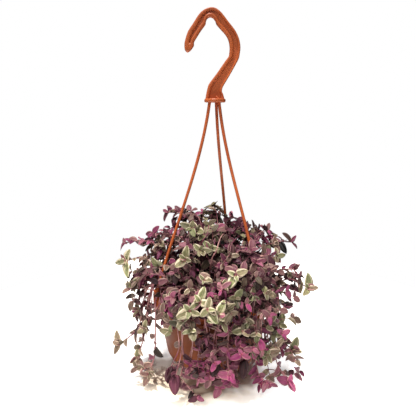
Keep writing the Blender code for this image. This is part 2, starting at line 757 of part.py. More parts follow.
def make_hanger(collection, material):
    hook = make_hook(collection)
    hook.data.materials.append(material)
    pieces = new_collection("hanger_pieces")
    middle = (FLANGE_X, 0, FLANGE_BOTTOM + FLANGE_THICK / 2)
    disc("flange", FLANGE_RADIUS, FLANGE_THICK, middle, 16, pieces)
    for index, (azimuth, swing) in enumerate(zip(STRAP_AZIMUTHS, STRAP_SWINGS)):
        line = strap_line(azimuth, swing, STRAP_STEPS)
        tube(f"strap_{index}", line, [STRAP_RADIUS] * len(line), STRAP_SIDES, pieces)
        clip_middle = round_point(CLIP_CIRCLE, azimuth, RIM_TOP + GAP + CLIP_HEIGHT / 2)
        block(f"clip_{index}", (CLIP_WIDTH, CLIP_THICK, CLIP_HEIGHT), clip_middle, azimuth, pieces)
        tongue_top = RIM_TOP + GAP + 1 * MM
        tongue_bottom = RIM_TOP - TONGUE_DEPTH
        tongue_middle = round_point(CLIP_CIRCLE, azimuth, (tongue_top + tongue_bottom) / 2)
        tongue_size = (TONGUE_WIDTH, TONGUE_THICK, tongue_top - tongue_bottom)
        block(f"tongue_{index}", tongue_size, tongue_middle, azimuth, pieces)
        barb_middle = round_point(CLIP_CIRCLE, azimuth, RIM_TOP - WALL - GAP - BARB_HEIGHT / 2)
        barb_size = (BARB_WIDTH, BARB_THICK, BARB_HEIGHT)
        block(f"barb_{index}", barb_size, barb_middle, azimuth, pieces)
    return combine(hook, pieces, "UNION")


def main():
    clear_scene()
    plant = new_collection("potted_callisia")
    hanger_plastic = make_material("terracotta plastic", TERRACOTTA, 0.45)
    pot_plastic = make_material("brown terracotta plastic", POT_BROWN, 0.5)
    soil_material = make_material("potting soil", SOIL_BROWN, 0.95)
    leaf_materials = {
        letter: make_material(name, colour, 0.55)
        for letter, (name, colour) in LEAF_COLOURS.items()
    }
    stems = plan_stems()
    make_saucer(plant, pot_plastic)
    make_pot(plant, pot_plastic)
    make_soil(stems, plant, soil_material)
    make_hanger(plant, hanger_plastic)
    for index, stem in enumerate(stems, start=1):
        make_leafy_stem(stem, index, plant, leaf_materials[stem_colour(stem["number"])])
    print("stems", len(stems), "leaves", sum(len(stem["leaves"]) for stem in stems))


main()
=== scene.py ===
"""The looks of a potted callisia: small green, cream, pink and purple leaves on thin red stems, in a
terracotta-coloured hanging pot that stands on its saucer with its hanger upright above it.

Everything is in metres, +Z up, with the origin in the middle of the saucer's underside and -Y in front.
"""

import json
import math
import random
import bmesh
import bpy
import mathutils
import numpy as np
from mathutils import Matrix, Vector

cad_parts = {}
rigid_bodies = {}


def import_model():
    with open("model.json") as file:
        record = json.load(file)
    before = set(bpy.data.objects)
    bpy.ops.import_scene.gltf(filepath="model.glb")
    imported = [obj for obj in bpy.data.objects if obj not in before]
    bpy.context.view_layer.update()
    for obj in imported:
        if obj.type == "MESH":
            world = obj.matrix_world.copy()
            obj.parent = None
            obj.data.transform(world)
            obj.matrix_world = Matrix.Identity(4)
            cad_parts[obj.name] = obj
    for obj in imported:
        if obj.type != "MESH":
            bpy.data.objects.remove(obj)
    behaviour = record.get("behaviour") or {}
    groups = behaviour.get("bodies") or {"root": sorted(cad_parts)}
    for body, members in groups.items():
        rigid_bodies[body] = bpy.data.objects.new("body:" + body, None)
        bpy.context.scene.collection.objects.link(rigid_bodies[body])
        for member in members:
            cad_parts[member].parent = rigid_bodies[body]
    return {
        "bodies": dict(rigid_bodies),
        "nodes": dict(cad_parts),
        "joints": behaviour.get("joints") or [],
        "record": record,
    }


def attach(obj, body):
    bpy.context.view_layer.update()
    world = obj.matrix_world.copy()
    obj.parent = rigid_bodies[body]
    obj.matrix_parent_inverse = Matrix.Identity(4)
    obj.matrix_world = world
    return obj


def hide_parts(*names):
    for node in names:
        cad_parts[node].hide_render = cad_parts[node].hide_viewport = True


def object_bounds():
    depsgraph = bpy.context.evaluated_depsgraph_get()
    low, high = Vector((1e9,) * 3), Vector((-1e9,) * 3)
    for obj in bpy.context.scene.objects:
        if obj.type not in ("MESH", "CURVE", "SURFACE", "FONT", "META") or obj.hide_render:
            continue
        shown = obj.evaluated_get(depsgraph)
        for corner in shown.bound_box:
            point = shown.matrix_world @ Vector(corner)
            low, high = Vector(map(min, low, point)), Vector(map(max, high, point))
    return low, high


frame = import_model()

cad_box = [list(corner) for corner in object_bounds()]


# View. The pot stands on a pale table and is seen from a little above, at half a metre.
# The camera is upright, without shift, and takes in the hook's top and the shadow in front.
CAMERA_PLACE = (-0.0059, -0.499, 0.2916)
CAMERA_DOWN = 11.55
CAMERA_LENS = 38.94
SENSOR_WIDTH = 36

camera_data = bpy.data.cameras.new("camera")
camera_data.lens = CAMERA_LENS
camera_data.sensor_width = SENSOR_WIDTH
camera_data.clip_start = 0.01
camera = bpy.data.objects.new("camera", camera_data)
camera.location = CAMERA_PLACE
camera.rotation_euler = (math.radians(90 - CAMERA_DOWN), 0, 0)
bpy.context.scene.collection.objects.link(camera)
bpy.context.scene.camera = camera


# Saucer. A shallow turned dish of the pot's plastic, which clips on under the foot. Its browns are
# painted darker than the pot's: painted shade for the shadow it lies in under the pot and leaves.
# It is one moulding with a rolled edge.
MM = 0.001
SAME_POINT = 0.002 * MM
SAUCER_RADIUS = 43 * MM
SAUCER_FOOT_RADIUS = 40.5 * MM
SAUCER_HEIGHT = 8 * MM
SAUCER_WALL = 1.3 * MM
SAUCER_BEVEL = (0.8 * MM, 1.0 * MM)
SAUCER_SOFT_EDGE = 0.55 * MM
ROUND_SEGMENTS = 112
SAUCER_SHADED_BROWN = (0.15, 0.048, 0.024)
SAUCER_SHADE = (0.07, 0.024, 0.013)
TERRACOTTA = (0.58, 0.135, 0.036)
TERRACOTTA_DEEP = (0.43, 0.085, 0.022)
SOIL_STAIN = (0.07, 0.035, 0.02)
ORANGE_EDGE_BLUR = 3 * MM
# How fine the plastic's drift of tone, flow marks, specks, sheen and grain are, in lumps a metre.
DRIFT_SCALE = 26
FLOW_SCALE = 110
SPECK_SCALE = 420
SHEEN_SCALE = 90
GRAIN_SCALE = 260


def rounded(corners, reach, steps=4):
    """An open outline with each corner c drawn as an arc: (1-t)^2 a + 2t(1-t) c + t^2 b.

    Points a and b lie on the two sides, at most `reach` from the corner.
    """
    corners = np.asarray(corners, float)
    before = corners[:-2] - corners[1:-1]
    after = corners[2:] - corners[1:-1]
    long_before = np.linalg.norm(before, axis=1)[:, None]
    long_after = np.linalg.norm(after, axis=1)[:, None]
    start = corners[1:-1] + before / long_before * np.minimum(reach, 0.45 * long_before)
    end = corners[1:-1] + after / long_after * np.minimum(reach, 0.45 * long_after)
    t = np.linspace(0, 1, steps)[None, :, None]
    arcs = (1 - t) ** 2 * start[:, None] + 2 * t * (1 - t) * corners[1:-1, None] + t**2 * end[:, None]
    return np.vstack((corners[:1], arcs.reshape(-1, corners.shape[1]), corners[-1:]))


def grid_faces(grids, rows_meet=False):
    """The corner numbers of each cell of a grid, or of several of one size, counted on.

    A grid's last column meets its first, and with rows_meet its last row too.
    """
    rows, columns = grids.shape[-3:-1]
    row, column = np.meshgrid(
        np.arange(rows if rows_meet else rows - 1), np.arange(columns), indexing="ij"
    )
    next_column = (column + 1) % columns
    here = row * columns
    ahead = (row + 1) % rows * columns
    cells = (here + column, here + next_column, ahead + next_column, ahead + column)
    first = np.arange(grids.size // 3, step=rows * columns)[:, None, None]
    return (np.stack(cells, axis=-1).reshape(-1, 4) + first).reshape(-1, 4)


def closed_mesh(name, grids, rows_meet=False):
    """A mesh whose equal points are merged, which closes poles and seams, and whose faces face out."""
    mesh = bpy.data.meshes.new(name)
    mesh.from_pydata(grids.reshape(-1, 3).tolist(), [], grid_faces(grids, rows_meet).tolist())
    shape = bmesh.new()
    shape.from_mesh(mesh)
    bmesh.ops.remove_doubles(shape, verts=shape.verts, dist=SAME_POINT)
    bmesh.ops.recalc_face_normals(shape, faces=shape.faces)
    shape.to_mesh(mesh)
    shape.free()
    return mesh


def on_root(name, mesh):
    """The object of a finished mesh, which rides on the root body."""
    piece = bpy.data.objects.new(name, mesh)
    bpy.context.scene.collection.objects.link(piece)
    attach(piece, "root")
    return piece


def add_piece(name, grids, material, sharp=40, rows_meet=False):
    """A closed piece, smooth but for edges sharper than this many degrees."""
    mesh = closed_mesh(name, grids, rows_meet)
    mesh.shade_smooth()
    mesh.set_sharp_from_angle(angle=math.radians(sharp))
    mesh.materials.append(material)
    return on_root(name, mesh)


def turned(profile):
    """Each profile point (r, z) carried round the axis: (r sin a, -r cos a, z)."""
    angle = np.arange(ROUND_SEGMENTS) * 2 * np.pi / ROUND_SEGMENTS
    radius = profile[:, 0][:, None]
    height = np.repeat(profile[:, 1][:, None], ROUND_SEGMENTS, axis=1)
    return np.stack((radius * np.sin(angle), -radius * np.cos(angle), height), axis=-1)


def feed(tree, socket, value):
    """Links a socket to another node's output, or sets it to a number or colour."""
    if isinstance(value, bpy.types.NodeSocket):
        tree.links.new(value, socket)
    elif isinstance(value, tuple) and len(value) == 3 and socket.type == "RGBA":
        socket.default_value = (*value, 1)
    else:
        socket.default_value = value


def blend_of(tree, share, first, second, kind="MIX"):
    """The first colour, and as much of the second as the share says."""
    mix = tree.nodes.new("ShaderNodeMix")
    mix.data_type = "RGBA"
    mix.blend_type = kind
    feed(tree, mix.inputs[0], share)
    feed(tree, mix.inputs[6], first)
    feed(tree, mix.inputs[7], second)
    return mix.outputs[2]


def math_of(tree, operation, first, second=0.0):
    node = tree.nodes.new("ShaderNodeMath")
    node.operation = operation
    feed(tree, node.inputs[0], first)
    feed(tree, node.inputs[1], second)
    return node.outputs[0]


def range_of(tree, value, low, high, to_low=0.0, to_high=1.0):
    """The value, clamped between low and high, carried over to to_low and to_high."""
    node = tree.nodes.new("ShaderNodeMapRange")
    for socket, number in zip(node.inputs, (value, low, high, to_low, to_high)):
        feed(tree, socket, number)
    return node.outputs[0]


def noise_of(tree, place, scale, detail, stretch=(1, 1, 1)):
    """Noise between 0 and 1 at a place, finer with scale and stretched along the axes."""
    mapping = tree.nodes.new("ShaderNodeMapping")
    mapping.inputs["Scale"].default_value = stretch
    tree.links.new(place, mapping.inputs["Vector"])
    node = tree.nodes.new("ShaderNodeTexNoise")
    node.inputs["Scale"].default_value = scale
    node.inputs["Detail"].default_value = detail
    tree.links.new(mapping.outputs[0], node.inputs["Vector"])
    return node.outputs[0]


def axes_of(tree, place):
    """A place's x, y and z."""
    axes = tree.nodes.new("ShaderNodeSeparateXYZ")
    tree.links.new(place, axes.inputs[0])
    return axes.outputs


def coat(tree, shader, colour, height, strength, depth):
    """Gives a shader its colour, and a bump from a height."""
    feed(tree, shader.inputs["Base Color"], colour)
    bump = tree.nodes.new("ShaderNodeBump")
    bump.inputs["Strength"].default_value = strength
    bump.inputs["Distance"].default_value = depth
    tree.links.new(height, bump.inputs["Height"])
    tree.links.new(bump.outputs[0], shader.inputs["Normal"])


def new_material(name, roughness):
    """A material with its node tree, its shader and the places on the piece, in metres."""
    material = bpy.data.materials.new(name)
    material.use_nodes = True
    shader = material.node_tree.nodes["Principled BSDF"]
    shader.inputs["Roughness"].default_value = roughness
    place = material.node_tree.nodes.new("ShaderNodeTexCoord")
    return material, material.node_tree, shader, place.outputs["Object"]


def moulded_plastic(name, lit, deep, roughness, shine, grime, grime_and_groove_shade_colour, orange_above=None, recess=None):
    """Plastic: a slow drift between two tones, flow marks stretched upwards, a fine grain and grime.

    Shine is how strongly it reflects. Above a given height the colour turns to the hanger's orange.
    A recess is painted shade: what lies above its height and nearer than its depth to the middle
    plane is darkened a little towards the dark colour of the specks, as shade in a groove.
    """
    material, tree, shader, here = new_material(name, roughness)
    drift = range_of(tree, noise_of(tree, here, DRIFT_SCALE, 4), 0.3, 0.7)
    colour = blend_of(tree, drift, deep, lit)
    # Above the given height the colour turns to the hanger's orange.
    if orange_above:
        ragged = range_of(tree, drift, 0.0, 1.0, -ORANGE_EDGE_BLUR, ORANGE_EDGE_BLUR)
        height = math_of(tree, "ADD", axes_of(tree, here)[2], ragged)
        orange_share = range_of(tree, height, orange_above - ORANGE_EDGE_BLUR, orange_above + ORANGE_EDGE_BLUR)
        colour = blend_of(tree, orange_share, colour, blend_of(tree, drift, TERRACOTTA_DEEP, TERRACOTTA))
    flow = noise_of(tree, here, FLOW_SCALE, 2, (1, 1, 0.16))
    colour = blend_of(tree, range_of(tree, flow, 0.46, 0.74, 0.0, 0.8 * grime), colour, deep)
    specks = noise_of(tree, here, SPECK_SCALE, 2)
    colour = blend_of(tree, range_of(tree, specks, 0.62, 0.75, 0.0, grime), colour, grime_and_groove_shade_colour)
    # Painted shade: the web between the beads is darkened, standing in for the shade in the groove.
    if recess:
        lowest, depth, shade = recess
        _, y, z = axes_of(tree, here)
        painted_groove_shade = range_of(tree, math_of(tree, "ABSOLUTE", y), 0.5 * depth, depth, 1.0, 0.0)
        painted_groove_shade = math_of(tree, "MULTIPLY", painted_groove_shade, range_of(tree, z, lowest, lowest + 2 * MM))
        colour = blend_of(tree, math_of(tree, "MULTIPLY", painted_groove_shade, shade), colour, grime_and_groove_shade_colour)
    coat(tree, shader, colour, noise_of(tree, here, GRAIN_SCALE, 2), 0.04, 0.1 * MM)
    sheen = noise_of(tree, here, SHEEN_SCALE, 3)
    rough = range_of(tree, sheen, 0.3, 0.7, roughness - 0.08, roughness + 0.12)
    feed(tree, shader.inputs["Roughness"], rough)
    shader.inputs["Specular IOR Level"].default_value = shine
    return material


# The saucer's darker browns are painted shade.
shaded_saucer_plastic = moulded_plastic(
    "dark brown plastic", SAUCER_SHADED_BROWN, SAUCER_SHADE, 0.45, 0.2, 0.5, SOIL_STAIN
)
saucer_profile = rounded(
    (
        (0, 0), (SAUCER_FOOT_RADIUS - SAUCER_BEVEL[0], 0), (SAUCER_FOOT_RADIUS, SAUCER_BEVEL[1]),
        (SAUCER_RADIUS, SAUCER_HEIGHT), (SAUCER_RADIUS - SAUCER_WALL, SAUCER_HEIGHT),
        (SAUCER_FOOT_RADIUS - SAUCER_WALL, SAUCER_WALL), (0, SAUCER_WALL),
    ),
    SAUCER_SOFT_EDGE,
)
saucer = add_piece("saucer_dish", turned(saucer_profile), shaded_saucer_plastic)
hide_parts("saucer")


# Pot. A thin moulded shell: a flat rim with a skirt hung from its edge, a tapering body and a foot.
# The rim has three slots for the hanger's clips, and the bottom four drain holes.
RIM_RADIUS = 70 * MM
RIM_TOP = 90 * MM
RIM_INNER_RADIUS = 64.4 * MM
SKIRT_DEPTH = 11 * MM
POT_WALL = 1.5 * MM
FOOT_RADIUS = 38.5 * MM
POT_BOTTOM = 1.6 * MM
FOOT_SHOULDER = 8.6 * MM
FOOT_INSIDE = 10 * MM
# The body's outer and inner side, as radius and height.
BODY_OUTSIDE_MM = ((62, 68), (58.4, 43), (54.6, 21), (50.4, 13.6), (44, 9.8))
BODY_INSIDE_MM = ((49, 15), (53.2, 22), (56.8, 43), (60.4, 68))
# Where the straps' clips stand: degrees from the front, counted towards the right.
STRAP_AZIMUTHS = (-74, 46, 166)
CLIP_CIRCLE = 67 * MM
SLOT_SIZE = (6.8 * MM, 1.8 * MM, 6 * MM)
DRAIN_HOLES = 4
DRAIN_CIRCLE = 24 * MM
DRAIN_RADIUS = 3 * MM
RIM_SOFT_EDGE = 0.9 * MM
BODY_SOFT_EDGE = 1.2 * MM
POT_BROWN = (0.26, 0.072, 0.028)
POT_SHADE = (0.15, 0.039, 0.017)
# The height above which the pot's rim is the hanger's orange.
ORANGE_RIM_ABOVE = 78 * MM


def in_metres(rows_mm):
    return [tuple(value * MM for value in row) for row in rows_mm]


def round_point(radius, azimuth, z):
    angle = math.radians(azimuth)
    return np.array((radius * math.sin(angle), -radius * math.cos(angle), z))


def ball(rows, columns):
    """A unit sphere's points: (sin d cos a, sin d sin a, cos d), with d from pole to pole and a round."""
    down = np.linspace(0, np.pi, rows)[:, None]
    around = np.arange(columns)[None] * 2 * np.pi / columns
    return np.stack(
        (np.sin(down) * np.cos(around), np.sin(down) * np.sin(around), np.cos(down) + 0 * around), -1
    )


def rounded_block(size, place, azimuth, squareness):
    """A block with soft edges: each coordinate is a power of a sphere's, |s|^squareness with its sign.

    Its Y side is turned to face outwards at the azimuth.
    """
    sphere = ball(12, 24)
    sphere = np.where(np.abs(sphere) < 1e-9, 0, sphere)
    soft = np.sign(sphere) * np.abs(sphere) ** squareness * np.asarray(size) / 2
    angle = math.radians(azimuth)
    x = soft[..., 0] * math.cos(angle) - soft[..., 1] * math.sin(angle)
    y = soft[..., 0] * math.sin(angle) + soft[..., 1] * math.cos(angle)
    return np.stack((x, y, soft[..., 2]), -1) + np.asarray(place)


def carve(piece, grids):
    """Cuts closed shapes, joined in one mesh, out of a piece, and keeps the result as its mesh."""
    cutter = bpy.data.objects.new("cutters", closed_mesh("cutters", grids))
    bpy.context.scene.collection.objects.link(cutter)
    cut = piece.modifiers.new("cut", "BOOLEAN")
    cut.operation = "DIFFERENCE"
    cut.solver = "EXACT"
    cut.object = cutter
    graph = bpy.context.evaluated_depsgraph_get()
    result = bpy.data.meshes.new_from_object(piece.evaluated_get(graph))
    piece.modifiers.clear()
    piece.data = result
    bpy.data.objects.remove(cutter)


pot_plastic = moulded_plastic(
    "brown terracotta plastic", POT_BROWN, POT_SHADE, 0.5, 0.15, 0.5, SOIL_STAIN, ORANGE_RIM_ABOVE
)
skirt_end = RIM_TOP - SKIRT_DEPTH
pot_floor = POT_BOTTOM + POT_WALL
# The rim's and the body's outlines meet here, on the rim's top.
rim_lip = (RIM_INNER_RADIUS + 0.4 * MM, RIM_TOP)
rim_outline = rounded(
    (
        rim_lip, (RIM_RADIUS, RIM_TOP), (RIM_RADIUS, skirt_end),
        (RIM_RADIUS - POT_WALL, skirt_end), (RIM_RADIUS - POT_WALL, RIM_TOP - POT_WALL),
        (RIM_INNER_RADIUS + POT_WALL, RIM_TOP - POT_WALL), *in_metres(BODY_OUTSIDE_MM[:1]),
    ),
    RIM_SOFT_EDGE,
)
body_outline = rounded(
    (
        *in_metres(BODY_OUTSIDE_MM), (FOOT_RADIUS, FOOT_SHOULDER), (FOOT_RADIUS, POT_BOTTOM),
        (0, POT_BOTTOM), (0, pot_floor), (FOOT_RADIUS - POT_WALL, pot_floor),
        (FOOT_RADIUS - POT_WALL, FOOT_INSIDE), *in_metres(BODY_INSIDE_MM),
        (RIM_INNER_RADIUS, RIM_TOP - 0.7 * MM), rim_lip,
    ),
    BODY_SOFT_EDGE,
)
pot_outline = np.vstack((rim_outline, body_outline[1:-1]))
pot = add_piece("pot_shell", turned(pot_outline), pot_plastic, rows_meet=True)
slots = [
    rounded_block(SLOT_SIZE, round_point(CLIP_CIRCLE, azimuth, RIM_TOP), azimuth, 0.05)
    for azimuth in STRAP_AZIMUTHS
]
drain_size = (2 * DRAIN_RADIUS, 2 * DRAIN_RADIUS, 3 * POT_WALL)
drain_azimuths = [45 + 360 / DRAIN_HOLES * index for index in range(DRAIN_HOLES)]
drains = [
    rounded_block(drain_size, round_point(DRAIN_CIRCLE, azimuth, POT_BOTTOM + POT_WALL / 2), 0, 0.6)
    for azimuth in drain_azimuths
]
carve(pot, np.array(slots + drains))
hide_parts("pot")


# Soil. Dark damp peat, a little domed, filled to a finger's width under the rim.
# Crumbs and a few pale grains lie loose on its top; the stems root in it.
SOIL_EDGE_Z = 78 * MM
SOIL_CROWN_Z = 83 * MM
SOIL_EDGE_RADIUS = 61.8 * MM
# Its side from below the edge down to its foot, as radius and height.
SOIL_SIDE_MM = ((60.0, 67.8), (56.4, 42.9), (52.7, 22), (48.6, 15.6), (36.5, 10.6), (36.5, 3.4), (0, 3.4))
SOIL_ROUGHNESS = 0.7 * MM
SOIL_WAVES = 36
SOIL_RINGS = 44
PEAT_DARK = (0.012, 0.008, 0.006)
PEAT_BROWN = (0.06, 0.036, 0.022)
PEAT_FIBRE = (0.16, 0.10, 0.06)
CRUMBS = 420
CRUMB_SIZES = (0.5 * MM, 1.7 * MM)
GRIT = 46
GRIT_SIZES = (0.5 * MM, 1.2 * MM)
GRIT_GREY = (0.32, 0.27, 0.21)
GRIT_PALE = (0.62, 0.58, 0.5)


def soil_height(radius):
    """The soil's level, which falls from its crown with the square of the radius."""
    return SOIL_CROWN_Z - (SOIL_CROWN_Z - SOIL_EDGE_Z) * (radius / RIM_INNER_RADIUS) ** 2


def crumbly(points, rng):
    """How far points rise: a sum of sine waves of many directions, and of lengths of 1.6 to 9 mm."""
    directions = rng.normal(size=(SOIL_WAVES, 2))
    directions /= np.linalg.norm(directions, axis=1)[:, None]
    pitch = 2 * np.pi / (rng.uniform(1.6, 9, SOIL_WAVES) * MM)
    phase = rng.uniform(0, 2 * np.pi, SOIL_WAVES)
    along = np.tensordot(points[..., :2], directions.T, axes=1) * pitch + phase
    return SOIL_ROUGHNESS * np.sin(along).sum(axis=-1) / math.sqrt(SOIL_WAVES)


def peat(name):
    """Peat: two browns in crumb-sized noise, pale fibres, and a strong fine bump."""
    material, tree, shader, here = new_material(name, 0.92)
    crumbs = range_of(tree, noise_of(tree, here, 520, 5), 0.35, 0.68)
    colour = blend_of(tree, crumbs, PEAT_DARK, PEAT_BROWN)
    fibres = range_of(tree, noise_of(tree, here, 900, 2, (1, 0.12, 1)), 0.6, 0.72, 0, 0.7)
    colour = blend_of(tree, fibres, colour, PEAT_FIBRE)
    coat(tree, shader, colour, noise_of(tree, here, 800, 5), 0.9, 0.8 * MM)
    return material


soil_material = peat("potting soil")
soil_rng = np.random.default_rng(11)
ring_radii = np.linspace(0, SOIL_EDGE_RADIUS, SOIL_RINGS)
soil_outline = np.array([(radius, soil_height(radius)) for radius in ring_radii] + in_metres(SOIL_SIDE_MM))
soil_grid = turned(soil_outline)
edge_fade = np.clip((SOIL_EDGE_RADIUS - ring_radii) / (3 * MM), 0, 1)[:, None]
soil_grid[:SOIL_RINGS, :, 2] += edge_fade * crumbly(soil_grid[:SOIL_RINGS], soil_rng)
soil_grid[0, :, 2] = soil_grid[0, :, 2].mean()
soil = add_piece("soil_fill", soil_grid, soil_material, sharp=180)
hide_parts("soil")


def scattered(count, radius, size_range, rng):
    """Small lumpy grains on the soil: squashed spheres of 5 by 7 points, each pulled about at random."""
    reach = radius * np.sqrt(rng.uniform(0, 1, count))
    angle = rng.uniform(0, 2 * np.pi, count)
    size = rng.uniform(*size_range, (count, 1, 1, 3))
    lumps = 1 + 0.18 * rng.normal(size=(count, 5, 7, 1))
    lumps[:, 0] = lumps[:, 0, :1]
    lumps[:, -1] = lumps[:, -1, :1]
    places = np.stack((reach * np.cos(angle), reach * np.sin(angle), soil_height(reach)), -1)
    return ball(5, 7) * size * lumps + places[:, None, None]


crumbs = scattered(CRUMBS, 59 * MM, CRUMB_SIZES, soil_rng)
add_piece("soil_crumbs", crumbs, soil_material, sharp=180)
grit_material, grit_tree, grit_shader, grit_place = new_material("pale mineral grit", 0.85)
grit_tone = range_of(grit_tree, noise_of(grit_tree, grit_place, 700, 3), 0.3, 0.7)
feed(grit_tree, grit_shader.inputs["Base Color"], blend_of(grit_tree, grit_tone, GRIT_GREY, GRIT_PALE))
grit = scattered(GRIT, 58 * MM, GRIT_SIZES, soil_rng)
add_piece("soil_grit", grit, grit_material, sharp=180)


# Hanger. One orange-brown moulding: a hook of two round beads with a thinner web between them, a
# round flange at its foot and three springy straps that bow out to clips in the rim's slots.
FLANGE_X = 1.6 * MM
FLANGE_RADIUS = 11.5 * MM
FLANGE_BOTTOM = 306 * MM
FLANGE_THICK = 4 * MM
FLANGE_SOFT_EDGE = 1.8 * MM
STRAP_RADIUS = 1.7 * MM
STRAP_SIDES = 14
STRAP_POINTS = 90
STRAP_TOP_CIRCLE = 5.8 * MM
# How far each strap bends aside between flange and clip, in degrees.
STRAP_SWINGS = (-5, 12, -7)
CLIP_HEIGHT = 5 * MM
SEAT_GAP = 0.3 * MM
HOOK_DEPTH = 8 * MM
HOOK_WEB = 3.4 * MM
HOOK_SOFT_EDGE = 2.4 * MM
INNER_BEAD = 3.6 * MM
INNER_BEAD_SHARE = 0.42
HOOK_RINGS = 190
# Painted shade in the groove between the hook's beads: above a height and within a depth of the middle
# plane the web is darkened a little towards this dark colour, which the specks use too.
SPECK_AND_GROOVE_SHADE_DARK = (0.11, 0.028, 0.012)
GROOVE_FROM = 308 * MM
GROOVE_DEPTH = 3.4 * MM
GROOVE_SHADE = 0.1
# The hook from its tip to the flange: its outer and its inner edge, each as x and z, and how wide the
# bead along the outer edge is, in millimetres. The inner edge has a round saddle under the arch.
HOOK_EDGES_MM = (
    (-28.9, 357.3, -26.4, 357.1, 1.0),
    (-30.3, 359.9, -24.1, 359.7, 2.4),
    (-30.7, 363.9, -20.8, 364.3, 4.2),
    (-30.2, 368.4, -20.6, 367.7, 4.4),
    (-27.0, 377.8, -17.9, 372.3, 4.4),
    (-21.7, 385.7, -12.9, 379.7, 4.2),
    (-17.0, 392.7, -8.7, 385.2, 3.8),
    (-13.6, 396.7, -8.0, 388.3, 3.4),
    (-9.5, 399.7, -6.7, 391.1, 3.1),
    (-4.3, 401.6, -3.6, 392.5, 3.0),
    (0.8, 401.4, -0.7, 391.5, 2.9),
    (5.0, 399.2, 1.6, 388.8, 2.7),
    (9.0, 395.6, 3.0, 385.3, 2.5),
    (15.6, 387.5, 7.5, 380.4, 2.3),
    (21.2, 380.9, 12.1, 375.5, 2.3),
    (24.6, 375.5, 14.7, 371.5, 2.3),
    (27.1, 369.3, 16.2, 367.3, 2.3),
    (28.2, 362.6, 16.9, 362.1, 2.3),
    (27.7, 356.4, 16.6, 356.8, 2.3),
    (26.5, 350.8, 15.7, 353.0, 2.2),
    (22.8, 343.7, 11.6, 347.5, 2.2),
    (16.1, 332.1, 3.6, 336.2, 2.2),
    (10.1, 322.1, -4.6, 325.5, 2.2),
    (9.1, 317.5, -6.4, 320.8, 2.2),
    (10.2, 314.9, -7.7, 315.6, 2.2),
    (12.2, 308.2, -9.0, 308.2, 2.2),
)
# The recess between the beads starts this far from the tip, and is full depth a little further on.
# Before it the web lies almost level with the beads.
RECESS_START = 8.5 * MM
RECESS_RAMP = 3.0 * MM
LEVEL_WEB = 0.98
TIP_ROUNDING = 2.2 * MM
TIP_START = 0.02 * MM
CURVE_STEPS = 16


def distances_along(points):
    """How far along a broken line each of its points is."""
    return np.concatenate(([0], np.cumsum(np.linalg.norm(np.diff(points, axis=0), axis=1))))


def points_at(points, distances):
    """Places on a broken line at these distances from its start."""
    along = distances_along(points)
    columns = [np.interp(distances, along, points[:, axis]) for axis in range(points.shape[1])]
    return np.stack(columns, axis=-1)


def curve_through(points):
    """Catmull-Rom: 16 steps between neighbours b and c, with a before and d after, at t from 0 to 1:

    (2b + (c - a) t + (2a - 5b + 4c - d) t^2 + (3b - a - 3c + d) t^3) / 2.
    """
    points = np.asarray(points, float)
    t = np.linspace(0, 1, CURVE_STEPS, endpoint=False)[:, None]
    padded = np.vstack((2 * points[0] - points[1], points, 2 * points[-1] - points[-2]))
    fine = []
    for before, start, end, after in zip(padded, padded[1:], padded[2:], padded[3:]):
        bend = (2 * before - 5 * start + 4 * end - after) * t**2
        twist = (3 * start - before - 3 * end + after) * t**3
        fine.append(0.5 * (2 * start + (end - before) * t + bend + twist))
    return np.vstack(fine + [points[-1:]])


def length_of(points):
    return distances_along(points)[-1]


def smooth_line(points, count):
    """Points evenly spaced along the smooth curve through the given points."""
    fine = curve_through(points)
    return points_at(fine, np.linspace(0, length_of(fine), count))


def strap_centre(azimuth, swing, along):
    """Where a strap's axis is, from 0 at the flange to 1 at its clip.

    Its radius is a cubic in `along` with a shallow first slope; its azimuth swings by 4 s a (1 - a).
    """
    first_slope, last_slope = 0.45, 1.0
    out = 3 * along**2 - 2 * along**3
    out += first_slope * (along**3 - 2 * along**2 + along)
    out += last_slope * (along**3 - along**2)
    radius = STRAP_TOP_CIRCLE + (CLIP_CIRCLE - STRAP_TOP_CIRCLE) * out
    top = FLANGE_BOTTOM + FLANGE_THICK / 2
    bottom = RIM_TOP + SEAT_GAP + CLIP_HEIGHT / 2
    centre = round_point(radius, azimuth + 4 * swing * along * (1 - along), top + (bottom - top) * along)
    centre[0] += FLANGE_X * (1 - out)
    return centre


def strap_line(azimuth, swing, count):
    """A strap's axis as evenly spaced steps from the flange to the clip."""
    return np.array([strap_centre(azimuth, swing, step / (count - 1)) for step in range(count)])


def tube(line, radii, sides):
    """A round section carried along a line: centre + r (cos a n + sin a b), with closed ends.

    n is the direction nearest to up that is square to the line, and b is square to both.
    """
    ahead = np.gradient(line, axis=0)
    ahead /= np.linalg.norm(ahead, axis=1)[:, None]
    side = np.cross(ahead, (0.13, 0.21, 1.0))
    side /= np.maximum(np.linalg.norm(side, axis=1), 1e-9)[:, None]
    up = np.cross(side, ahead)
    angle = np.arange(sides) * 2 * np.pi / sides
    ring = np.cos(angle)[None, :, None] * up[:, None] + np.sin(angle)[None, :, None] * side[:, None]
    skin = line[:, None] + np.asarray(radii)[:, None, None] * ring
    start = np.repeat(line[:1, None], sides, axis=1)
    end = np.repeat(line[-1:, None], sides, axis=1)
    return np.concatenate((start, skin, end))


def hook_section(half, outer_bead, deep, web):
    """One ring of the hook: an H on its side with soft corners, drawn in front and mirrored behind.

    The outer bead ends at +half, the inner bead at -half, and the web lies between them.
    """
    inner_bead = min(INNER_BEAD, INNER_BEAD_SHARE * 2 * half)
    corners = (
        (half, 0), (half, deep), (half - outer_bead, deep), (half - outer_bead, web),
        (inner_bead - half, web), (inner_bead - half, deep), (-half, deep), (-half, 0),
    )
    front = rounded(corners, HOOK_SOFT_EDGE, 8)
    return np.vstack((front, (front * (1, -1))[::-1][1:-1]))


# Its web carries the painted groove shade.
hanger_plastic = moulded_plastic(
    "terracotta plastic", TERRACOTTA, TERRACOTTA_DEEP, 0.38, 0.5, 0.1, SPECK_AND_GROOVE_SHADE_DARK,
    recess=(GROOVE_FROM, GROOVE_DEPTH, GROOVE_SHADE),
)

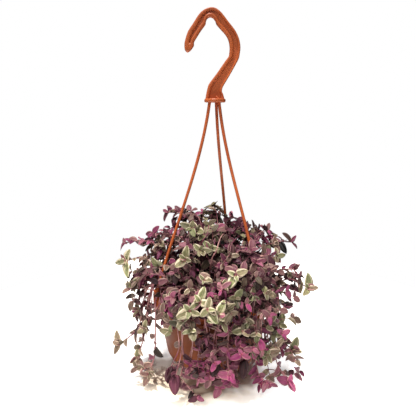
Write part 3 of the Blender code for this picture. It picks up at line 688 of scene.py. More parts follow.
hook_rows = smooth_line(np.array(HOOK_EDGES_MM) * MM, HOOK_RINGS)
hook_travel = distances_along((hook_rows[:, 0:2] + hook_rows[:, 2:4]) / 2)
hook_grid = []
for travel, row in zip(hook_travel, hook_rows):
    outer_edge = np.array((row[0], 0, row[1]))
    inner_edge = np.array((row[2], 0, row[3]))
    across = outer_edge - inner_edge
    half = np.linalg.norm(across) / 2
    close = math.sqrt(min(1.0, (travel + TIP_START) / TIP_ROUNDING))
    deep = HOOK_DEPTH / 2 * close
    recess = min(1.0, max(0.0, (travel - RECESS_START) / RECESS_RAMP))
    web = LEVEL_WEB * deep + (HOOK_WEB / 2 - LEVEL_WEB * deep) * recess
    section = hook_section(half * close, row[4] * close, deep, web)
    centre = (outer_edge + inner_edge) / 2
    hook_grid.append(centre + section[:, :1] * across / (2 * half) + section[:, 1:] * np.array((0, 1, 0)))
hook_grid = np.array(hook_grid)
hook_ends = [
    np.repeat(end.mean(axis=0)[None, None], hook_grid.shape[1], axis=1) for end in hook_grid[[0, -1]]
]
hook_grid = np.concatenate((hook_ends[0], hook_grid, hook_ends[1]))
hook = add_piece("hook", hook_grid, hanger_plastic, sharp=60)
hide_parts("hanger")

flange_top = FLANGE_BOTTOM + FLANGE_THICK
flange_outline = rounded(
    ((0, FLANGE_BOTTOM), (FLANGE_RADIUS, FLANGE_BOTTOM), (FLANGE_RADIUS, flange_top), (0, flange_top)),
    FLANGE_SOFT_EDGE, 7,
)
flange_grid = turned(flange_outline) + np.array((FLANGE_X, 0, 0))
add_piece("hook_flange", flange_grid, hanger_plastic, sharp=60)

# Two short slanted ribs stiffen the foot of the web on each side, and run out into the flange. Each
# is given by x and z of its top and its bottom; it lies further out and is thicker at the bottom.
FOOT_RIBS_MM = (((2.2, 313.6), (5.4, 309.6)), ((7.6, 314.4), (9.8, 309.6)))
RIB_OUT_MM = (1.2, 3.2)
RIB_THICK_MM = (0.5, 0.95)
RIB_RINGS = 8
rib_grids = []
for rib in FOOT_RIBS_MM:
    for depth_side in (-1, 1):
        ends = np.array([(x * MM, depth_side * out * MM, z * MM) for (x, z), out in zip(rib, RIB_OUT_MM)])
        rib_line = points_at(ends, np.linspace(0, 1, RIB_RINGS) * length_of(ends))
        rib_grids.append(tube(rib_line, np.linspace(*RIB_THICK_MM, RIB_RINGS) * MM, 10))
add_piece("hook_foot_ribs", np.array(rib_grids), hanger_plastic, sharp=180)

# A clip's cap over the rim, its tongue in the slot and its barb under the rim: size, the height of
# its middle and its squareness.
CLIP_PARTS = (
    ((9 * MM, 3.8 * MM, CLIP_HEIGHT), RIM_TOP + SEAT_GAP + CLIP_HEIGHT / 2, 0.32),
    ((6.2 * MM, 1.2 * MM, 8 * MM), RIM_TOP - 2.6 * MM, 0.15),
    ((7.6 * MM, 1.4 * MM, 2.6 * MM), RIM_TOP - POT_WALL - SEAT_GAP - 1.3 * MM, 0.3),
)
straps = [strap_line(azimuth, swing, STRAP_POINTS) for azimuth, swing in zip(STRAP_AZIMUTHS, STRAP_SWINGS)]
for index, (azimuth, line) in enumerate(zip(STRAP_AZIMUTHS, straps), start=1):
    strap = tube(line, np.full(len(line), STRAP_RADIUS), STRAP_SIDES)
    add_piece(f"strap_{index}", strap, hanger_plastic)
    clip_grids = np.array([
        rounded_block(size, round_point(CLIP_CIRCLE, azimuth, z), azimuth, squareness)
        for size, z, squareness in CLIP_PARTS
    ])
    add_piece(f"clip_{index}", clip_grids, hanger_plastic, sharp=180)


# Growth. The same rules as the solids follow: where each stem roots and ends, the way it takes over
# the rim or up through the mound, and the joints where its leaves stand, all clear of one another.
AXIS = np.array((0.0, 0.0, 1.0))
GOLDEN_TURN = 137.508
ROOT_DEPTH = 7 * MM
ROOT_RISE = 4 * MM
# Where each long stem's growing tip is, as x, y and z in millimetres. Those of the front and the two
# sides are set one by one, because they give the plant its outline.
TIPS_MM = (
    (-100, 0, 149), (-98, -14, 132), (-88, -22, 106), (-107, -25, 36), (-86, -34, 24),
    (-70, -56, 17), (-54, 33, 178), (-70, 10, 157), (-86, -12, 70), (-44, 42, 176),
    (2, 38, 184), (-12, 56, 172), (-27, 28, 180), (22, 34, 172), (36, 34, 162),
    (91, 10, 147), (90, -14, 122), (108, -15, 99), (96, 14, 88), (72, -38, 66),
    (88, -38, 36), (80, -66, 14), (50, -76, 18), (-4, -84, 30), (-36, -80, 22),
    (16, -90, 36), (28, -86, 58), (-14, -84, 112), (4, -88, 100), (-34, -78, 86),
    (22, -68, 134), (-18, -20, 168), (-29, -50, 145), (-4, -40, 154), (10, -66, 122),
    (-60, -30, 130), (38, -68, 110), (54, -36, 126), (40, -22, 146), (-54, -52, 96),
    (-84, 18, 142), (-52, -4, 158), (66, 20, 150), (72, -8, 134),
)
# The back's tips stand in rings: first and last azimuth in degrees, how many, and the first's and the
# last's radius and height in millimetres.
BACK_RINGS = (
    (112, 252, 5, 104, 96, 46, 30),
    (124, 238, 4, 92, 98, 92, 112),
    (138, 226, 3, 74, 70, 140, 148),
)
SEED = 41
STEM_PIECES = 7
LEAF_LENGTH = 13.5 * MM
LEAF_WIDTH = 8.8 * MM
FEWEST_LEAVES = 5
MOST_LEAVES = 9
STEM_PER_LEAF = 13.5 * MM
# Leaves from the tip back: the way to the next one in millimetres, and the size of each.
LEAF_SPACING_MM = (3.2, 6.0, 9.0, 11.5, 13.5, 15.0, 16.0, 17.0, 18.0)
LEAF_SCALES = (0.72, 0.85, 0.95, 1.0, 1.06, 1.06, 1.0, 0.96, 0.92)
ROSETTE_LEAVES = 2
ROSETTE_TURN = 120
ROSETTE_LEAN = 48
RANK_LEAN = 66
RIB_LIFT = 0.18
FIRST_LEAF_BACK = 0.4 * MM
BARE_BASE = 24 * MM
# The way a stem takes at a leaf is measured over this step before it.
LEAF_STEP = 3 * MM
# What a leaf that would meet something tries in turn: a change of lean, a smaller size and a roll.
LEAF_TRIES = (
    (0, 1, 0), (18, 1, 20), (-18, 1, -20), (30, 0.9, -45), (-30, 0.9, 45), (0, 0.8, 70), (40, 0.75, 0),
)
STEM_TRIES = 24
ROOT_FIELD_RADIUS = 50 * MM
# A stem whose tip is lower than this and past the rim goes over the rim's crest and trails down.
TRAILING_TIP_Z = 96 * MM
RIM_REACH = RIM_RADIUS + 4 * MM
RIM_CREST_Z = 101 * MM
RIM_APPROACH = 48 * MM
MOUND_CREST_Z = 108 * MM
FLOOR_CLEARANCE = 1.6 * MM
POT_CLEARANCE = 2 * MM
BLADE_CLEARANCE = 3.3 * MM
STRAP_CLEARANCE = 4.4 * MM
STRAP_SAMPLES = 39
SAMPLE_STEP = 2 * MM
CLUMP_SIZE = 8
HANGER_OWNER = -1


def points_along(points, step):
    """Evenly spaced points on a broken line, about a step apart."""
    total = length_of(points)
    return points_at(points, np.linspace(0, total, max(2, int(total / step) + 1)))


def unit(vector):
    return vector / max(float(np.linalg.norm(vector)), 1e-9)


def square_to(vector, axis):
    """The direction nearest to a vector that is square to an axis."""
    return unit(vector - axis * float(np.dot(vector, axis)))


def rolled(first, second, angle):
    """The direction an angle round from the first direction towards the second."""
    return unit(first * math.cos(angle) + second * math.sin(angle))


def flat(place):
    return np.array((place[0], place[1], 0.0))


def outwards(place):
    return unit(flat(place) + 1e-6)


def place_on(line, here, step):
    """The place this far along a line, and the way the line takes to it over a short step."""
    behind, place = points_at(line, (here - step, here))
    return place, unit(place - behind)


def pot_side(z, room):
    """How far out the pot reaches at each height, with this much room round it."""
    radii, heights = np.array(BODY_OUTSIDE_MM[::-1]).T * MM
    return np.where(z > RIM_TOP - SKIRT_DEPTH - room, RIM_RADIUS, np.interp(z, heights, radii)) + room


def clear_of_pot(points):
    """True if no point is in the pot, its rim, its saucer or the soil, with a little room."""
    radius = np.hypot(points[:, 0], points[:, 1])
    z = points[:, 2]
    above = z > RIM_TOP + POT_CLEARANCE
    inner = RIM_INNER_RADIUS - POT_CLEARANCE - POT_WALL / 2
    inside = (radius < inner) & (z > soil_height(radius) + POT_CLEARANCE)
    return bool(((radius > pot_side(z, POT_CLEARANCE)) | above | inside).all())


def tips():
    """Every stem's growing tip, in metres: the set ones, then the rings at the back."""
    places = [np.array(tip) * MM for tip in TIPS_MM]
    for first, last, count, near, far, low, high in BACK_RINGS:
        for step in range(count):
            share = step / (count - 1)
            wave = math.sin(2.4 * step + first)
            places.append(
                round_point(
                    (near + (far - near) * share + 5 * wave) * MM,
                    first + (last - first) * share,
                    (low + (high - low) * share - 9 * wave) * MM,
                )
            )
    return places


def roots_for(places):
    """A root in the soil for each tip: a sunflower pattern, each tip taking the nearest free spot."""
    count = len(places)
    spots = []
    for index in range(count):
        radius = ROOT_FIELD_RADIUS * math.sqrt((index + 0.5) / count)
        spots.append(round_point(radius, index * GOLDEN_TURN, soil_height(radius)))
    order = sorted(range(count), key=lambda index: places[index][2])
    chosen = [None] * count
    for index in order:
        tip = places[index]
        reach = math.hypot(tip[0], tip[1])
        share = min(0.62, ROOT_FIELD_RADIUS / max(reach, MM))
        wish = np.array((tip[0] * share, tip[1] * share))
        best = min(range(len(spots)), key=lambda spot: float(np.hypot(*(spots[spot][:2] - wish))))
        chosen[index] = spots.pop(best)
    return chosen


def stem_route(root, tip, rng, attempt):
    """A stem's line from its root up over the rim, or up through the mound, to its tip.

    The shares below say how far along its way each bend is; elbow, lift and wander vary them.
    """
    reach = math.hypot(tip[0], tip[1])
    out = unit(flat(tip))
    side = np.cross(AXIS, out)
    wander = side * (rng.uniform(-9, 9) + attempt * rng.uniform(-4, 4)) * MM
    lift = (rng.uniform(0, 9) + 1.6 * attempt) * MM
    elbow = rng.uniform(0, 1)
    if tip[2] < TRAILING_TIP_Z and reach > RIM_REACH:
        # Past the rim it hangs down for most of its drop, and then turns outwards to its tip.
        crest = RIM_CREST_Z + lift
        drop = crest - tip[2]
        spread = reach - RIM_REACH
        upper = RIM_REACH + (0.40 - 0.16 * elbow) * spread
        lower = RIM_REACH + (0.66 - 0.16 * elbow) * spread
        middle = (
            out * RIM_APPROACH + wander + AXIS * (crest - 9 * MM),
            out * RIM_REACH + wander + AXIS * (crest + 2 * MM),
            out * upper + wander * 0.2 + AXIS * (crest - (0.42 + 0.12 * elbow) * drop),
            out * lower - wander * 0.5 + AXIS * (tip[2] + (0.16 - 0.10 * elbow) * drop),
        )
    else:
        crest = max(tip[2] - 4 * MM, MOUND_CREST_Z) + 0.4 * lift
        across = flat(tip) - flat(root)
        first = flat(root) + across * 0.22 + wander
        second = flat(root) + across * 0.66 + wander * 0.6
        middle = (first + AXIS * (root[2] + 0.6 * (crest - root[2])), second + AXIS * crest)
    start = root + AXIS * ROOT_RISE
    above = smooth_line((start, *middle, tip), STEM_PIECES)
    return np.vstack((root - AXIS * ROOT_DEPTH, above))


def leaf_rib(along, facing, side, lean, lift):
    """A leaf's rib, which leans from the way of its stem to one side, lifted towards its upper face."""
    across_stem = unit(np.cross(along, facing)) * side
    return unit(along * math.cos(lean) + across_stem * math.sin(lean) + facing * lift)


def leaf_frame(place, along, facing, side, lean, twist):
    """The leaf's axes: along its rib, across it and out of its upper face."""
    rib = leaf_rib(along, facing, side, lean, RIB_LIFT)
    face = square_to(facing, rib)
    face = rolled(face, np.cross(face, rib), twist)
    return place, rib, np.cross(face, rib), face


def leaf_samples(frame, length, width):
    """Points spread over a blade, for clearance tests."""
    place, rib, across, _ = frame
    u = np.array((0.12, 0.3, 0.48, 0.66, 0.84, 1.0))
    half = np.array((0.33, 0.48, 0.47, 0.38, 0.22, 0.0)) * width
    v = np.array((-1, -1 / 3, 1 / 3, 1))
    grid = place + (u * length)[:, None, None] * rib + (half[:, None] * v)[:, :, None] * across
    return grid.reshape(-1, 3)


def middle_and_reach(points):
    middle = points.mean(axis=0)
    return middle, float(np.linalg.norm(points - middle, axis=1).max())


class Thicket:
    """What already grows, as sample points in clumps, so that a new piece can keep clear of it."""

    def __init__(self):
        self.clumps = []
        self.middles = []
        self.reaches = []

    def add(self, owner, points):
        middle, reach = middle_and_reach(points)
        self.clumps.append((owner, points))
        self.middles.append(middle)
        self.reaches.append(reach)

    def add_line(self, owner, points):
        for first in range(0, len(points) - 1, CLUMP_SIZE):
            self.add(owner, points[first : first + CLUMP_SIZE + 1])

    def is_clear(self, owner, points):
        """True if no clump of another owner is too near; only clumps within reach are measured."""
        middle, reach = middle_and_reach(points)
        away = np.linalg.norm(np.array(self.middles) - middle, axis=1)
        for index in np.nonzero(away < np.array(self.reaches) + reach + BLADE_CLEARANCE)[0]:
            other, cloud = self.clumps[index]
            room = STRAP_CLEARANCE if other == HANGER_OWNER else BLADE_CLEARANCE
            if other != owner and np.linalg.norm(points[:, None] - cloud[None], axis=2).min() < room:
                return False
        return True


def plan_stems():
    """Every leafy stem as its line and its leaves, each clear of the pot, the straps and the rest."""
    thicket = Thicket()
    for azimuth, swing in zip(STRAP_AZIMUTHS, STRAP_SWINGS):
        strap = strap_line(azimuth, swing, STRAP_SAMPLES)
        thicket.add_line(HANGER_OWNER, points_along(strap, SAMPLE_STEP))
        radii = (CLIP_CIRCLE - 3 * MM, CLIP_CIRCLE + 3 * MM)
        clip = np.array([round_point(radius, azimuth, RIM_TOP + CLIP_HEIGHT / 2) for radius in radii])
        thicket.add(HANGER_OWNER, points_along(clip, SAMPLE_STEP))
    places = tips()
    stems = []
    for number, (tip, root) in enumerate(zip(places, roots_for(places))):
        rng = random.Random(SEED * 1000 + number)
        for attempt in range(STEM_TRIES):
            line = stem_route(root, tip, rng, attempt)
            samples = points_along(line, SAMPLE_STEP)
            open_part = samples[samples[:, 2] > root[2] + ROOT_RISE]
            if clear_of_pot(open_part) and thicket.is_clear(number, samples):
                thicket.add_line(number, samples)
                stems.append({"number": number, "line": line, "rng": rng, "leaves": []})
                break
    for stem in stems:
        grow_leaves(stem, thicket)
    return stems


def grow_leaves(stem, thicket):
    """Leaves from the tip back: a small rosette, then two ranks with ever longer internodes."""
    line = stem["line"]
    rng = stem["rng"]
    total = length_of(line)
    back = FIRST_LEAF_BACK
    turn = rng.uniform(0, 360)
    wanted = max(FEWEST_LEAVES, min(MOST_LEAVES, int(total / STEM_PER_LEAF)))
    for order in range(wanted):
        here = total - back
        back += LEAF_SPACING_MM[order] * MM * rng.uniform(0.92, 1.1)
        if here < BARE_BASE:
            break
        place, along = place_on(line, here, LEAF_STEP)
        facing = square_to(AXIS * 0.9 + outwards(place) * 0.55, along)
        in_rosette = order < ROSETTE_LEAVES
        side = 1 if order % 2 else -1
        if in_rosette:
            angle = math.radians(turn + order * ROSETTE_TURN)
            facing = rolled(facing, np.cross(along, facing), angle)
        scale = LEAF_SCALES[order] * rng.uniform(0.88, 1.1)
        lean = math.radians((ROSETTE_LEAN if in_rosette else RANK_LEAN) + rng.uniform(-10, 10))
        twist = math.radians(rng.uniform(-20, 20))
        for change, shrink, roll in LEAF_TRIES:
            size = scale * shrink
            frame = leaf_frame(
                place, along, facing, side, lean + math.radians(change), twist + math.radians(roll)
            )
            samples = leaf_samples(frame, LEAF_LENGTH * size, LEAF_WIDTH * size)
            if samples[:, 2].min() < FLOOR_CLEARANCE:
                continue
            if clear_of_pot(samples) and thicket.is_clear(stem["number"], samples):
                thicket.add(stem["number"], samples)
                stem["leaves"].append((frame, size, here))
                break


# Blades. Small ovate leaves, a little fleshy, folded along the rib and arched, that clasp the stem.
# The upper side is green with cream streaks and edge, pink at the base; the underside is purple.
BLADE_ROWS = np.array((0.05, 0.14, 0.28, 0.44, 0.6, 0.76, 0.9))
BLADE_COLUMNS = np.array((-1, -0.52, 0, 0.52, 1))
BLADE_THICK = 0.42 * MM
RIB_WIDTH = 0.6 * MM
# The outline formula's value at its widest place, 0.39 of the way along.
WIDEST = 0.39**0.45 * 0.61**0.7
BLADE_SIZES = ("place", "rib", "across", "face", "length", "width", "arch", "fold", "phase", "look")
GREEN_DEEP = (0.12, 0.14, 0.05)
GREEN_LIGHT = (0.27, 0.30, 0.125)
CREAM = (0.80, 0.71, 0.50)
MAUVE_DEEP = (0.10, 0.027, 0.043)
MAGENTA = (0.36, 0.045, 0.17)
MAUVE_PALE = (0.38, 0.18, 0.235)
PINK_EDGE = (0.60, 0.31, 0.28)
PINK_BASE = (0.52, 0.13, 0.19)
UNDERSIDE_PURPLE = 0.72
LEAF_SHINE = 0.25
VEIN_TURNS = 24.0
STREAK_STRETCH = (11, 1.6, 1)
BLOTCH_SCALE = 330


def blade_shape():
    """One blade's places as (along u, across v), which of them are below, and its faces on each side.

    The two ends are single points. The two sides share each row's outer points; its others are
    there twice, above and below.
    """
    above = np.stack(np.meshgrid(BLADE_ROWS, BLADE_COLUMNS, indexing="ij"), -1)
    below = above[:, 1:-1]
    flat = np.vstack(((0, 0), (1, 0), above.reshape(-1, 2), below.reshape(-1, 2)))
    numbers = np.arange(2, len(flat))
    split = above[..., 0].size
    is_below = np.arange(len(flat)) >= 2 + split
    upper = numbers[:split].reshape(above.shape[:2])
    lower = np.column_stack((upper[:, 0], numbers[split:].reshape(below.shape[:2]), upper[:, -1]))
    sides = []
    for grid in (upper, lower):
        base = [(0, left, right) for left, right in zip(grid[0, :-1], grid[0, 1:])]
        cells = np.stack((grid[:-1, :-1], grid[1:, :-1], grid[1:, 1:], grid[:-1, 1:]), -1).reshape(-1, 4)
        tip = [(left, 1, right) for left, right in zip(grid[-1, :-1], grid[-1, 1:])]
        sides.append([tuple(int(corner) for corner in face) for face in (*base, *cells, *tip)])
    return flat, is_below, sides[0], [face[::-1] for face in sides[1]]


BLADE_FLAT, BLADE_BELOW, UPPER_FACES, LOWER_FACES = blade_shape()


def blades(leaves):
    """Every blade's points, along u and across v, on the leaf's own rib, across and face axes.

    Its half width is W/2 u^0.45 (1-u)^0.7, scaled to 1 where it is widest. The rib is an arc that
    turns by `arch`, each half is hinged up from it by the angle `fold`, and the edges wave by a sine of u.
    """
    u = BLADE_FLAT[:, 0][None]
    v = BLADE_FLAT[:, 1][None]
    spread = u**0.45 * (1 - u) ** 0.7 / WIDEST
    half = leaves["width"][:, None] / 2 * spread
    arch = leaves["arch"][:, None]
    fold = leaves["fold"][:, None]
    length = leaves["length"][:, None]
    ahead = length * np.sin(arch * u) / arch
    drop = length * (1 - np.cos(arch * u)) / arch
    reach = half * v
    across = reach * np.cos(fold)
    lift = np.sin(fold) * (np.sqrt(reach**2 + RIB_WIDTH**2) - RIB_WIDTH)
    wave = 0.06 * half * np.abs(v) * np.sin(9 * u + leaves["phase"][:, None] + 1.4 * v)
    below = BLADE_BELOW[None] * BLADE_THICK * (1 - v**2) * np.sin(np.pi * u) ** 0.5
    amounts = (ahead, across, lift + wave - drop - below)
    axes = (leaves["rib"], leaves["across"], leaves["face"])
    offsets = sum(amount[..., None] * axis[:, None] for amount, axis in zip(amounts, axes))
    return leaves["place"][:, None] + offsets


def leaf_skin(name, underside):
    """Leaf tissue in the blade's own coordinates: x runs across it, y along it.

    The attribute leaf_look gives each leaf how purple it is, how wide its pale edge is, its depth
    of tone and how pink its base is.
    """
    material, tree, shader, here = new_material(name, 0.5)
    uv = tree.nodes.new("ShaderNodeUVMap")
    uv.uv_map = "blade"
    across, along, _ = axes_of(tree, uv.outputs[0])
    off_rib = math_of(tree, "SUBTRACT", math_of(tree, "FRACT", across), 0.5)
    from_rib = math_of(tree, "MULTIPLY", math_of(tree, "ABSOLUTE", off_rib), 2.0)
    look = tree.nodes.new("ShaderNodeAttribute")
    look.attribute_name = "leaf_look"
    parts = tree.nodes.new("ShaderNodeSeparateColor")
    tree.links.new(look.outputs["Color"], parts.inputs[0])
    purple, edge, tone = parts.outputs
    pink = look.outputs["Alpha"]
    streaks = noise_of(tree, uv.outputs[0], 1.0, 3, STREAK_STRETCH)
    blotches = noise_of(tree, here, BLOTCH_SCALE, 3)
    # The upper side: two greens in blotches, cream streaks between the veins, and a cream edge.
    veins = math_of(tree, "SINE", math_of(tree, "MULTIPLY", from_rib, VEIN_TURNS))
    broken = math_of(tree, "ADD", veins, range_of(tree, streaks, 0.2, 0.8, -1.2, 1.2))
    stripes = range_of(tree, broken, 0.2, 1.4)
    green = blend_of(tree, range_of(tree, blotches, 0.3, 0.7), GREEN_DEEP, GREEN_LIGHT)
    green = blend_of(tree, math_of(tree, "MULTIPLY", stripes, 0.28), green, CREAM)
    reach = math_of(tree, "ADD", from_rib, range_of(tree, streaks, 0.25, 0.75, -0.3, 0.3))
    reach = math_of(tree, "ADD", reach, math_of(tree, "MULTIPLY", edge, 0.55))
    pale = math_of(tree, "MULTIPLY", range_of(tree, reach, 0.95, 1.2), edge)
    colour = blend_of(tree, pale, green, CREAM)
    # The purple of undersides and of leaves in full light, from nearly black to magenta.
    mauve = blend_of(tree, pink, MAUVE_DEEP, MAGENTA)
    mauve = blend_of(tree, math_of(tree, "MULTIPLY", stripes, 0.25), mauve, MAUVE_PALE)
    if underside:
        purple = range_of(tree, purple, 0.0, 1.0, UNDERSIDE_PURPLE, 1.0)
    colour = blend_of(tree, purple, colour, mauve)
    # A pale rim just inside the edge, a pink base and a pale rib.
    rim = math_of(tree, "MULTIPLY", range_of(tree, from_rib, 0.7, 0.86), edge)
    colour = blend_of(tree, rim, colour, blend_of(tree, purple, CREAM, PINK_EDGE))
    base = math_of(tree, "MULTIPLY", range_of(tree, along, 0.03, 0.2, 0.9, 0.0), pink)
    colour = blend_of(tree, base, colour, PINK_BASE)
    colour = blend_of(tree, range_of(tree, from_rib, 0.02, 0.12, 0.18, 0.0), colour, PINK_EDGE)
    colour = blend_of(tree, 1.0, colour, tone, "MULTIPLY")
    relief = math_of(tree, "ADD", math_of(tree, "MULTIPLY", veins, 0.35), blotches)
    coat(tree, shader, colour, relief, 0.35, 0.12 * MM)
    shader.inputs["Specular IOR Level"].default_value = LEAF_SHINE
    return material


leaf_upper = leaf_skin("leaf upper side", False)
leaf_under = leaf_skin("leaf underside", True)


# Leafy stems. Thin dark red stems with swollen joints root in the soil, mound up and trail over the
# rim; each carries its blades in two ranks, short side shoots and a small rosette at every tip.
STEM_THICK_END = 0.95 * MM
STEM_THIN_END = 0.6 * MM
STEM_SIDES = 7
STEM_RED = (0.15, 0.022, 0.05)
STEM_TAN = (0.48, 0.24, 0.22)
SHOOT_THICK = 0.55 * MM
SHOOT_SIDES = 5
SHOOT_SHARES = (0.42, 0.93)
SHORTEST_SHOOT = 11
SHOOT_TRIES = 6
SHOOT_ROOM = 3 * MM
ABOVE_MOUND = 10 * MM
HEADING_STEP = 1.5 * MM
LEAST_APART = 1.8 * MM
JOINT_SWELL = 0.28 * MM
JOINT_REACH = 1.1 * MM
STATION_STEP = 1.6 * MM
OLD_AGE = 70 * MM
YOUNG_LENGTH = 34 * MM
# Leaves on the mound lean this way, towards the light from the front.
TO_LIGHT = np.array((-0.08, -0.75, 0.0))
# Stems whose tip is further out than these stand free of the others.
FREE_REACH = 84 * MM
FREE_TRAIL_REACH = 45 * MM
# How the leaves at each listed tip look: a cream Bud, Cream-edged, Green, Olive, Tan, Magenta,
# Purple or Dark.
TIP_LOOKS = "MCGTTTPPTPOPPMPPPCPGGMMMPMMCCGCGCGBGGPMPPPMG"
BACK_LOOKS = "PPGM"
# For each: how purple, how wide its pale edge, its tone and how pink.
LOOKS = {
    "B": (0.12, 1.0, 1.05, 1.0),
    "C": (0.0, 1.0, 1.05, 0.9),
    "G": (0.18, 0.8, 0.76, 0.35),
    "O": (0.30, 0.6, 0.6, 0.1),
    "T": (0.50, 0.9, 0.76, 0.3),
    "M": (0.88, 0.55, 0.92, 0.85),
    "P": (0.84, 0.66, 0.62, 0.44),
    "D": (0.95, 0.2, 0.42, 0.08),
}
OLD_LOOK = (0.80, 0.62, 0.52, 0.30)
LOOK_SPREAD = (0.14, 0.18, 0.24, 0.16)
# How many leaves a rosette of each look has, and their size.
ROSETTES = {
    "B": (3, 0.75), "C": (4, 1.2), "G": (4, 1.0), "O": (4, 1.0),
    "T": (4, 1.0), "M": (3, 1.0), "P": (3, 1.0), "D": (3, 1.0),
}


def stem_skin(name):
    """Stem tissue: dark red to pinkish tan in slow noise, with a fine lengthwise grain."""
    material, tree, shader, here = new_material(name, 0.45)
    slow = range_of(tree, noise_of(tree, here, 60, 3), 0.38, 0.66)
    colour = blend_of(tree, slow, STEM_RED, STEM_TAN)
    coat(tree, shader, colour, noise_of(tree, here, 900, 2), 0.25, 0.15 * MM)
    return material


stem_material = stem_skin("red stem")
# The straps push the leaves in front of them aside, each from its own height up to just over the
# mound, and the left one round its clip too.
PARTING = np.array((0.09, -0.95, 0.30))
PARTING_TOP = 205 * MM
PARTING_LOW = (122 * MM, 168 * MM, 190 * MM)
CLIP_PARTING_TOP = 104 * MM
parting_points = []
for line, low in zip(straps, PARTING_LOW):
    shown = points_along(line, 3 * MM)
    shown = shown[(shown[:, 2] > low) & (shown[:, 2] < PARTING_TOP)]
    parting_points += [shown + PARTING * reach * MM for reach in range(3, 60, 3)]
left_foot = straps[0][straps[0][:, 2] < CLIP_PARTING_TOP]
for aside in (-3, 0, 3):
    shifted = left_foot + np.array((aside, 0, 0)) * MM
    parting_points += [shifted + PARTING * reach * MM for reach in range(6, 78, 4)]
parting_points = np.vstack(parting_points)
strap_points = np.vstack(straps)
# Parts of the pot's front stay bare: boxes, with their lowest and highest corners in millimetres.
BARE_BOXES_MM = (
    ((-48, -120, 47), (-22, -48, 72)), ((-76, -110, 89), (-57, -14, 105)), ((42, -90, 78), (53, -46, 90)),
)
BOX_SLACK = 4 * MM
box_low = np.array(cad_box[0]) - BOX_SLACK
box_high = np.array(cad_box[1]) + BOX_SLACK


def mound_top(points):
    """The height of the mound: highest behind the middle on the right, lower towards its edge."""
    x = points[..., 0] / MM
    y = points[..., 1] / MM
    return (177 + 0.1 * x + 0.25 * y - 0.006 * (x**2 + y**2)) * MM


def has_room(points, room=0.8 * MM):
    """Which points are clear of the pot, the soil, the straps and the table, and near the plant's box."""
    radius = np.hypot(points[..., 0], points[..., 1])
    z = points[..., 2]
    inside = (radius < RIM_INNER_RADIUS - room) & (z > soil_height(radius) + 0.4 * MM)
    free = ((radius > pot_side(z, room)) | (z > RIM_TOP + room) | inside) & (z > room)
    free &= (points > box_low).all(axis=-1) & (points < box_high).all(axis=-1)
    for low, high in BARE_BOXES_MM:
        free &= ~((points > np.array(low) * MM) & (points < np.array(high) * MM)).all(axis=-1)
    near = np.linalg.norm(points[..., None, :] - strap_points, axis=-1).min(axis=-1)
    parted = np.linalg.norm(points[..., None, :] - parting_points, axis=-1).min(axis=-1)
    return free & (near > STRAP_RADIUS + room) & (parted > STRAP_RADIUS + room)


def blade_row(rng, place, rib, face, size, look, age=0.0):
    """One leaf: its place, its three axes and its sizes, a little different each time.

    Older leaves fold up more along the rib and bend back further.
    """
    face = square_to(face, rib)
    wanted = np.array(look) + rng.normal(size=4) * LOOK_SPREAD
    return (
        place, rib, np.cross(face, rib), face,
        LEAF_LENGTH * size * rng.uniform(0.93, 1.08),
        LEAF_WIDTH * size * rng.uniform(0.9, 1.12) * (1 - 0.22 * age),
        rng.uniform(0.2, 0.7) + 0.4 * age, rng.uniform(0.15, 0.5) + age * rng.uniform(0.15, 0.85),
        rng.uniform(0, 6.28), np.clip(wanted, 0.0, (1, 1, 1.25, 1)),
    )


def sky_side(place, along, roll):
    """The side of a stem that faces up and a little outwards, square to the stem, rolled round it."""
    facing = square_to(unit(AXIS + outwards(place) * 0.35), along)
    return rolled(facing, np.cross(along, facing), roll)


def aged(look, back):
    """A leaf's look, which turns to an old leaf's with its way back from the tip."""
    share = min(1.0, back / YOUNG_LENGTH)
    purple, _, _, pink = look
    old = np.maximum(OLD_LOOK, (0.0, 0.0, 0.0, 0.8 * purple * pink))
    return np.array(look) * (1 - share) + old * share


def ranked_leaves(
    rng, curve, from_end, look, bare, taken=(), grow=1.0, curl=0.0, apart=1.0, fade=1.0
):
    """Leaves in two ranks from a tip back, each joint further from the last, older and larger.

    On a stem that lies or climbs they are held level; on one that hangs they face outwards. No leaf
    grows below the length bare, or beside one that is there already. Curl is how old the youngest
    look in their fold, and fade how fast their colour gets old.
    """
    total = length_of(curve)
    rows = []
    back = from_end
    side = 1
    while total - back > bare:
        here = total - back
        place, heading = place_on(curve, here, HEADING_STEP)
        age = min(1.0, back / OLD_AGE)
        back += (4.8 + 4.6 * age) * MM * rng.uniform(0.85, 1.2) * apart
        side = -side
        if any(abs(here - other) < LEAST_APART for other in taken):
            continue
        lean = math.radians(rng.uniform(48, 84))
        if heading[2] > -0.35:
            forward = unit(heading * (1, 1, 0.2) + rng.normal(size=3) * (0.15, 0.15, 0))
            facing = unit(AXIS + TO_LIGHT * (1 - curl) + rng.normal(size=3) * 0.3)
        else:
            forward = heading
            facing = sky_side(place, heading, rng.normal() * 0.5)
        rib = leaf_rib(forward, facing, side, lean, rng.uniform(-0.2, 0.3))
        size = grow * (0.82 + 0.2 * age) * rng.uniform(0.8, 1.14)
        rows.append(blade_row(rng, place, rib, facing, size, aged(look, fade * back), max(age, curl)))
    return rows


